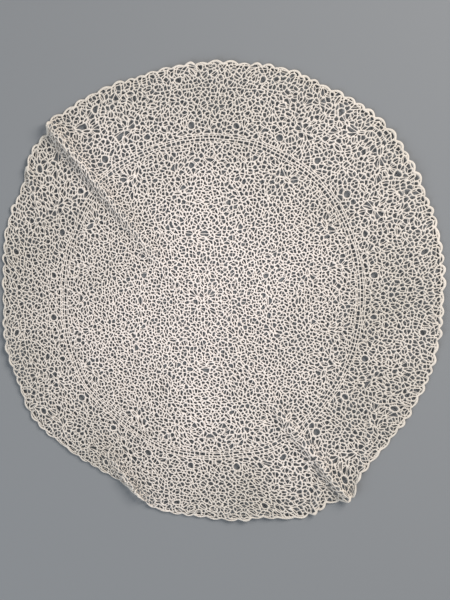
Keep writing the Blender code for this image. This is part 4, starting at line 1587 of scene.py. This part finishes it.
def thread_material(name, middle, border, soil, turns, slant, bump_mm):
    """Matt cotton: the tone group's colour, aged and with painted shade, and its roughness; the wound thread
    as bump; a faint sheen. The soil colour also greys the grooves, as painted shade.
    """
    material = bpy.data.materials.new(name)
    material.use_nodes = True
    tree = material.node_tree
    shader = tree.nodes["Principled BSDF"]
    place = tree.nodes.new("ShaderNodeTexCoord").outputs["Object"]
    maps = {}
    for label in ("thread", "OFBake"):
        node = tree.nodes.new("ShaderNodeUVMap")
        node.uv_map = label
        maps[label] = node.outputs["UV"]
    wound, tone = tree.nodes.new("ShaderNodeGroup"), tree.nodes.new("ShaderNodeGroup")
    wound.node_tree, tone.node_tree = WOUND_THREAD, AGED_TONE_AND_PAINTED_SHADE
    tree.links.new(maps["thread"], wound.inputs["Thread Map"])
    tree.links.new(place, wound.inputs["Place"])
    wound.inputs["Turns per mm"].default_value = turns
    wound.inputs["Slant"].default_value = slant
    tree.links.new(place, tone.inputs["Place"])
    tree.links.new(maps["OFBake"], tone.inputs["Flat Map"])
    tree.links.new(wound.outputs["Groove"], tone.inputs["Groove"])
    for label, colour in (("Middle", middle), ("Border", border), ("Soil and Groove Shade", soil)):
        tone.inputs[label].default_value = (*colour, 1.0)
    tree.links.new(tone.outputs["Color"], shader.inputs["Base Color"])
    tree.links.new(tone.outputs["Roughness"], shader.inputs["Roughness"])
    bumps = tree.nodes.new("ShaderNodeBump")
    bumps.inputs["Strength"].default_value = BUMP_STRENGTH
    bumps.inputs["Distance"].default_value = bump_mm / 1000
    tree.links.new(wound.outputs["Height"], bumps.inputs["Height"])
    tree.links.new(bumps.outputs["Normal"], shader.inputs["Normal"])
    shader.inputs["Sheen Weight"].default_value = SHEEN
    shader.inputs["Sheen Roughness"].default_value = SHEEN_ROUGHNESS
    shader.inputs["Specular IOR Level"].default_value = SHINE
    return material


# The border colour is creamier than the middle from yellowing, and darker as painted shade for light that
# falls off towards the edge.
PINKISH_IVORY = (0.88, 0.800, 0.758)
CREAMY_IVORY_WITH_PAINTED_SHADE = (0.60, 0.555, 0.495)
# The grey serves real soil spots and the painted shade in the grooves between turns of thread.
GREY_SOIL_AND_GROOVE_SHADE = (0.45, 0.38, 0.32)
NET_THREAD = thread_material("ivory_thread", PINKISH_IVORY, CREAMY_IVORY_WITH_PAINTED_SHADE, GREY_SOIL_AND_GROOVE_SHADE,
                             turns=1.7, slant=0.55, bump_mm=0.16)
EDGE_THREAD = thread_material("ivory_edge_thread", PINKISH_IVORY, CREAMY_IVORY_WITH_PAINTED_SHADE, GREY_SOIL_AND_GROOVE_SHADE,
                              turns=1.15, slant=0.10, bump_mm=0.25)
for piece in net:
    piece.data.materials.append(NET_THREAD)
edge.data.materials.append(EDGE_THREAD)
print("materials:", NET_THREAD.name, "and", EDGE_THREAD.name)

# %% [markdown]
# ## Standing for the part's cloth
# Each piece moves with the part's one body and stands for its cloth. Each piece of net keeps its flat size
# and flat area, as cloth of a known flat size. The whole net could be one sheet, but it is cut in eight, so
# each piece tells its own size.

# %% Attach each piece to the part's body, and hide the part
for piece in [*net, edge]:
    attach(piece, "root")
    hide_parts("lace_doily")
print(len(net) + 1, "pieces stand for the part's cloth")

# %% [markdown]
# ## Floor, light and camera
# A white floor would hide the ivory thread and a dark one its shadows, so the plain floor is a cool grey that
# shows the openwork best.
# One large soft lamp stands high at the upper right and a cooler, weaker one at the lower left, so that the
# creases show a warm and a cool side. The camera looks straight down, as at a doily laid on a table.

# %% Floor
FLOOR_HALF = 40
FLOOR_DROP = 0.0002
COOL_GREY = (0.190, 0.198, 0.208, 1.0)
floor_mesh = bpy.data.meshes.new("floor")
corners = [(-FLOOR_HALF, -FLOOR_HALF, 0), (FLOOR_HALF, -FLOOR_HALF, 0), (FLOOR_HALF, FLOOR_HALF, 0),
           (-FLOOR_HALF, FLOOR_HALF, 0)]
floor_mesh.from_pydata(corners, [], [(0, 1, 2, 3)])
floor = bpy.data.objects.new("floor", floor_mesh)
bpy.context.scene.collection.objects.link(floor)
floor.location.z = -FLOOR_DROP
floor_material = bpy.data.materials.new("floor")
floor_material.use_nodes = True
floor_shader = floor_material.node_tree.nodes["Principled BSDF"]
floor_shader.inputs["Base Color"].default_value = COOL_GREY
floor_shader.inputs["Roughness"].default_value = 0.9
floor_shader.inputs["Specular IOR Level"].default_value = 0.1
floor_mesh.materials.append(floor_material)
print("floor at", in_mm(floor.location.z), "mm")


# %% Lights
WARM_WHITE = (1.0, 0.95, 0.895)
COOL_WHITE = (0.88, 0.945, 1.0)
PALE_STUDIO = (0.80, 0.86, 0.92, 1.0)
STUDIO_STRENGTH = 0.36


def soft_lamp(name, place, size, power, colour):
    """A square area lamp that faces the doily."""
    data = bpy.data.lights.new(name, "AREA")
    data.shape = "SQUARE"
    data.size = size
    data.energy = power
    data.color = colour
    lamp = bpy.data.objects.new(name, data)
    bpy.context.scene.collection.objects.link(lamp)
    lamp.location = place
    lamp.rotation_euler = (-Vector(place)).to_track_quat("-Z", "Y").to_euler()
    return lamp


soft_lamp("key", place=(1.40, 1.00, 1.50), size=1.3, power=72.0, colour=WARM_WHITE)
soft_lamp("fill", place=(-1.3, -1.1, 1.2), size=1.6, power=29.0, colour=COOL_WHITE)
world = bpy.data.worlds.new("studio")
world.use_nodes = True
background = world.node_tree.nodes["Background"]
background.inputs["Color"].default_value = PALE_STUDIO
background.inputs["Strength"].default_value = STUDIO_STRENGTH
bpy.context.scene.world = world
bpy.context.scene.view_settings.view_transform = "Standard"
print("two soft lamps and a pale studio")

# %% Camera
# The view takes in 0.660 metres of the floor from top to bottom; in a view three wide and four high that is
# 0.495 across.
VIEW_HIGH = 0.660
VIEW_CENTRE = (0.0012, -0.0104)
CAMERA_HEIGHT = 1.30
SENSOR = 36.0
camera_data = bpy.data.cameras.new("camera")
camera_data.sensor_fit = "VERTICAL"
camera_data.sensor_height = SENSOR
camera_data.lens = SENSOR * CAMERA_HEIGHT / VIEW_HIGH
camera_data.clip_start = 0.05
camera_data.clip_end = 100.0
camera = bpy.data.objects.new("camera", camera_data)
bpy.context.scene.collection.objects.link(camera)
camera.location = (*VIEW_CENTRE, CAMERA_HEIGHT)
bpy.context.scene.camera = camera
print("lens:", round(camera_data.lens, 1), "mm")
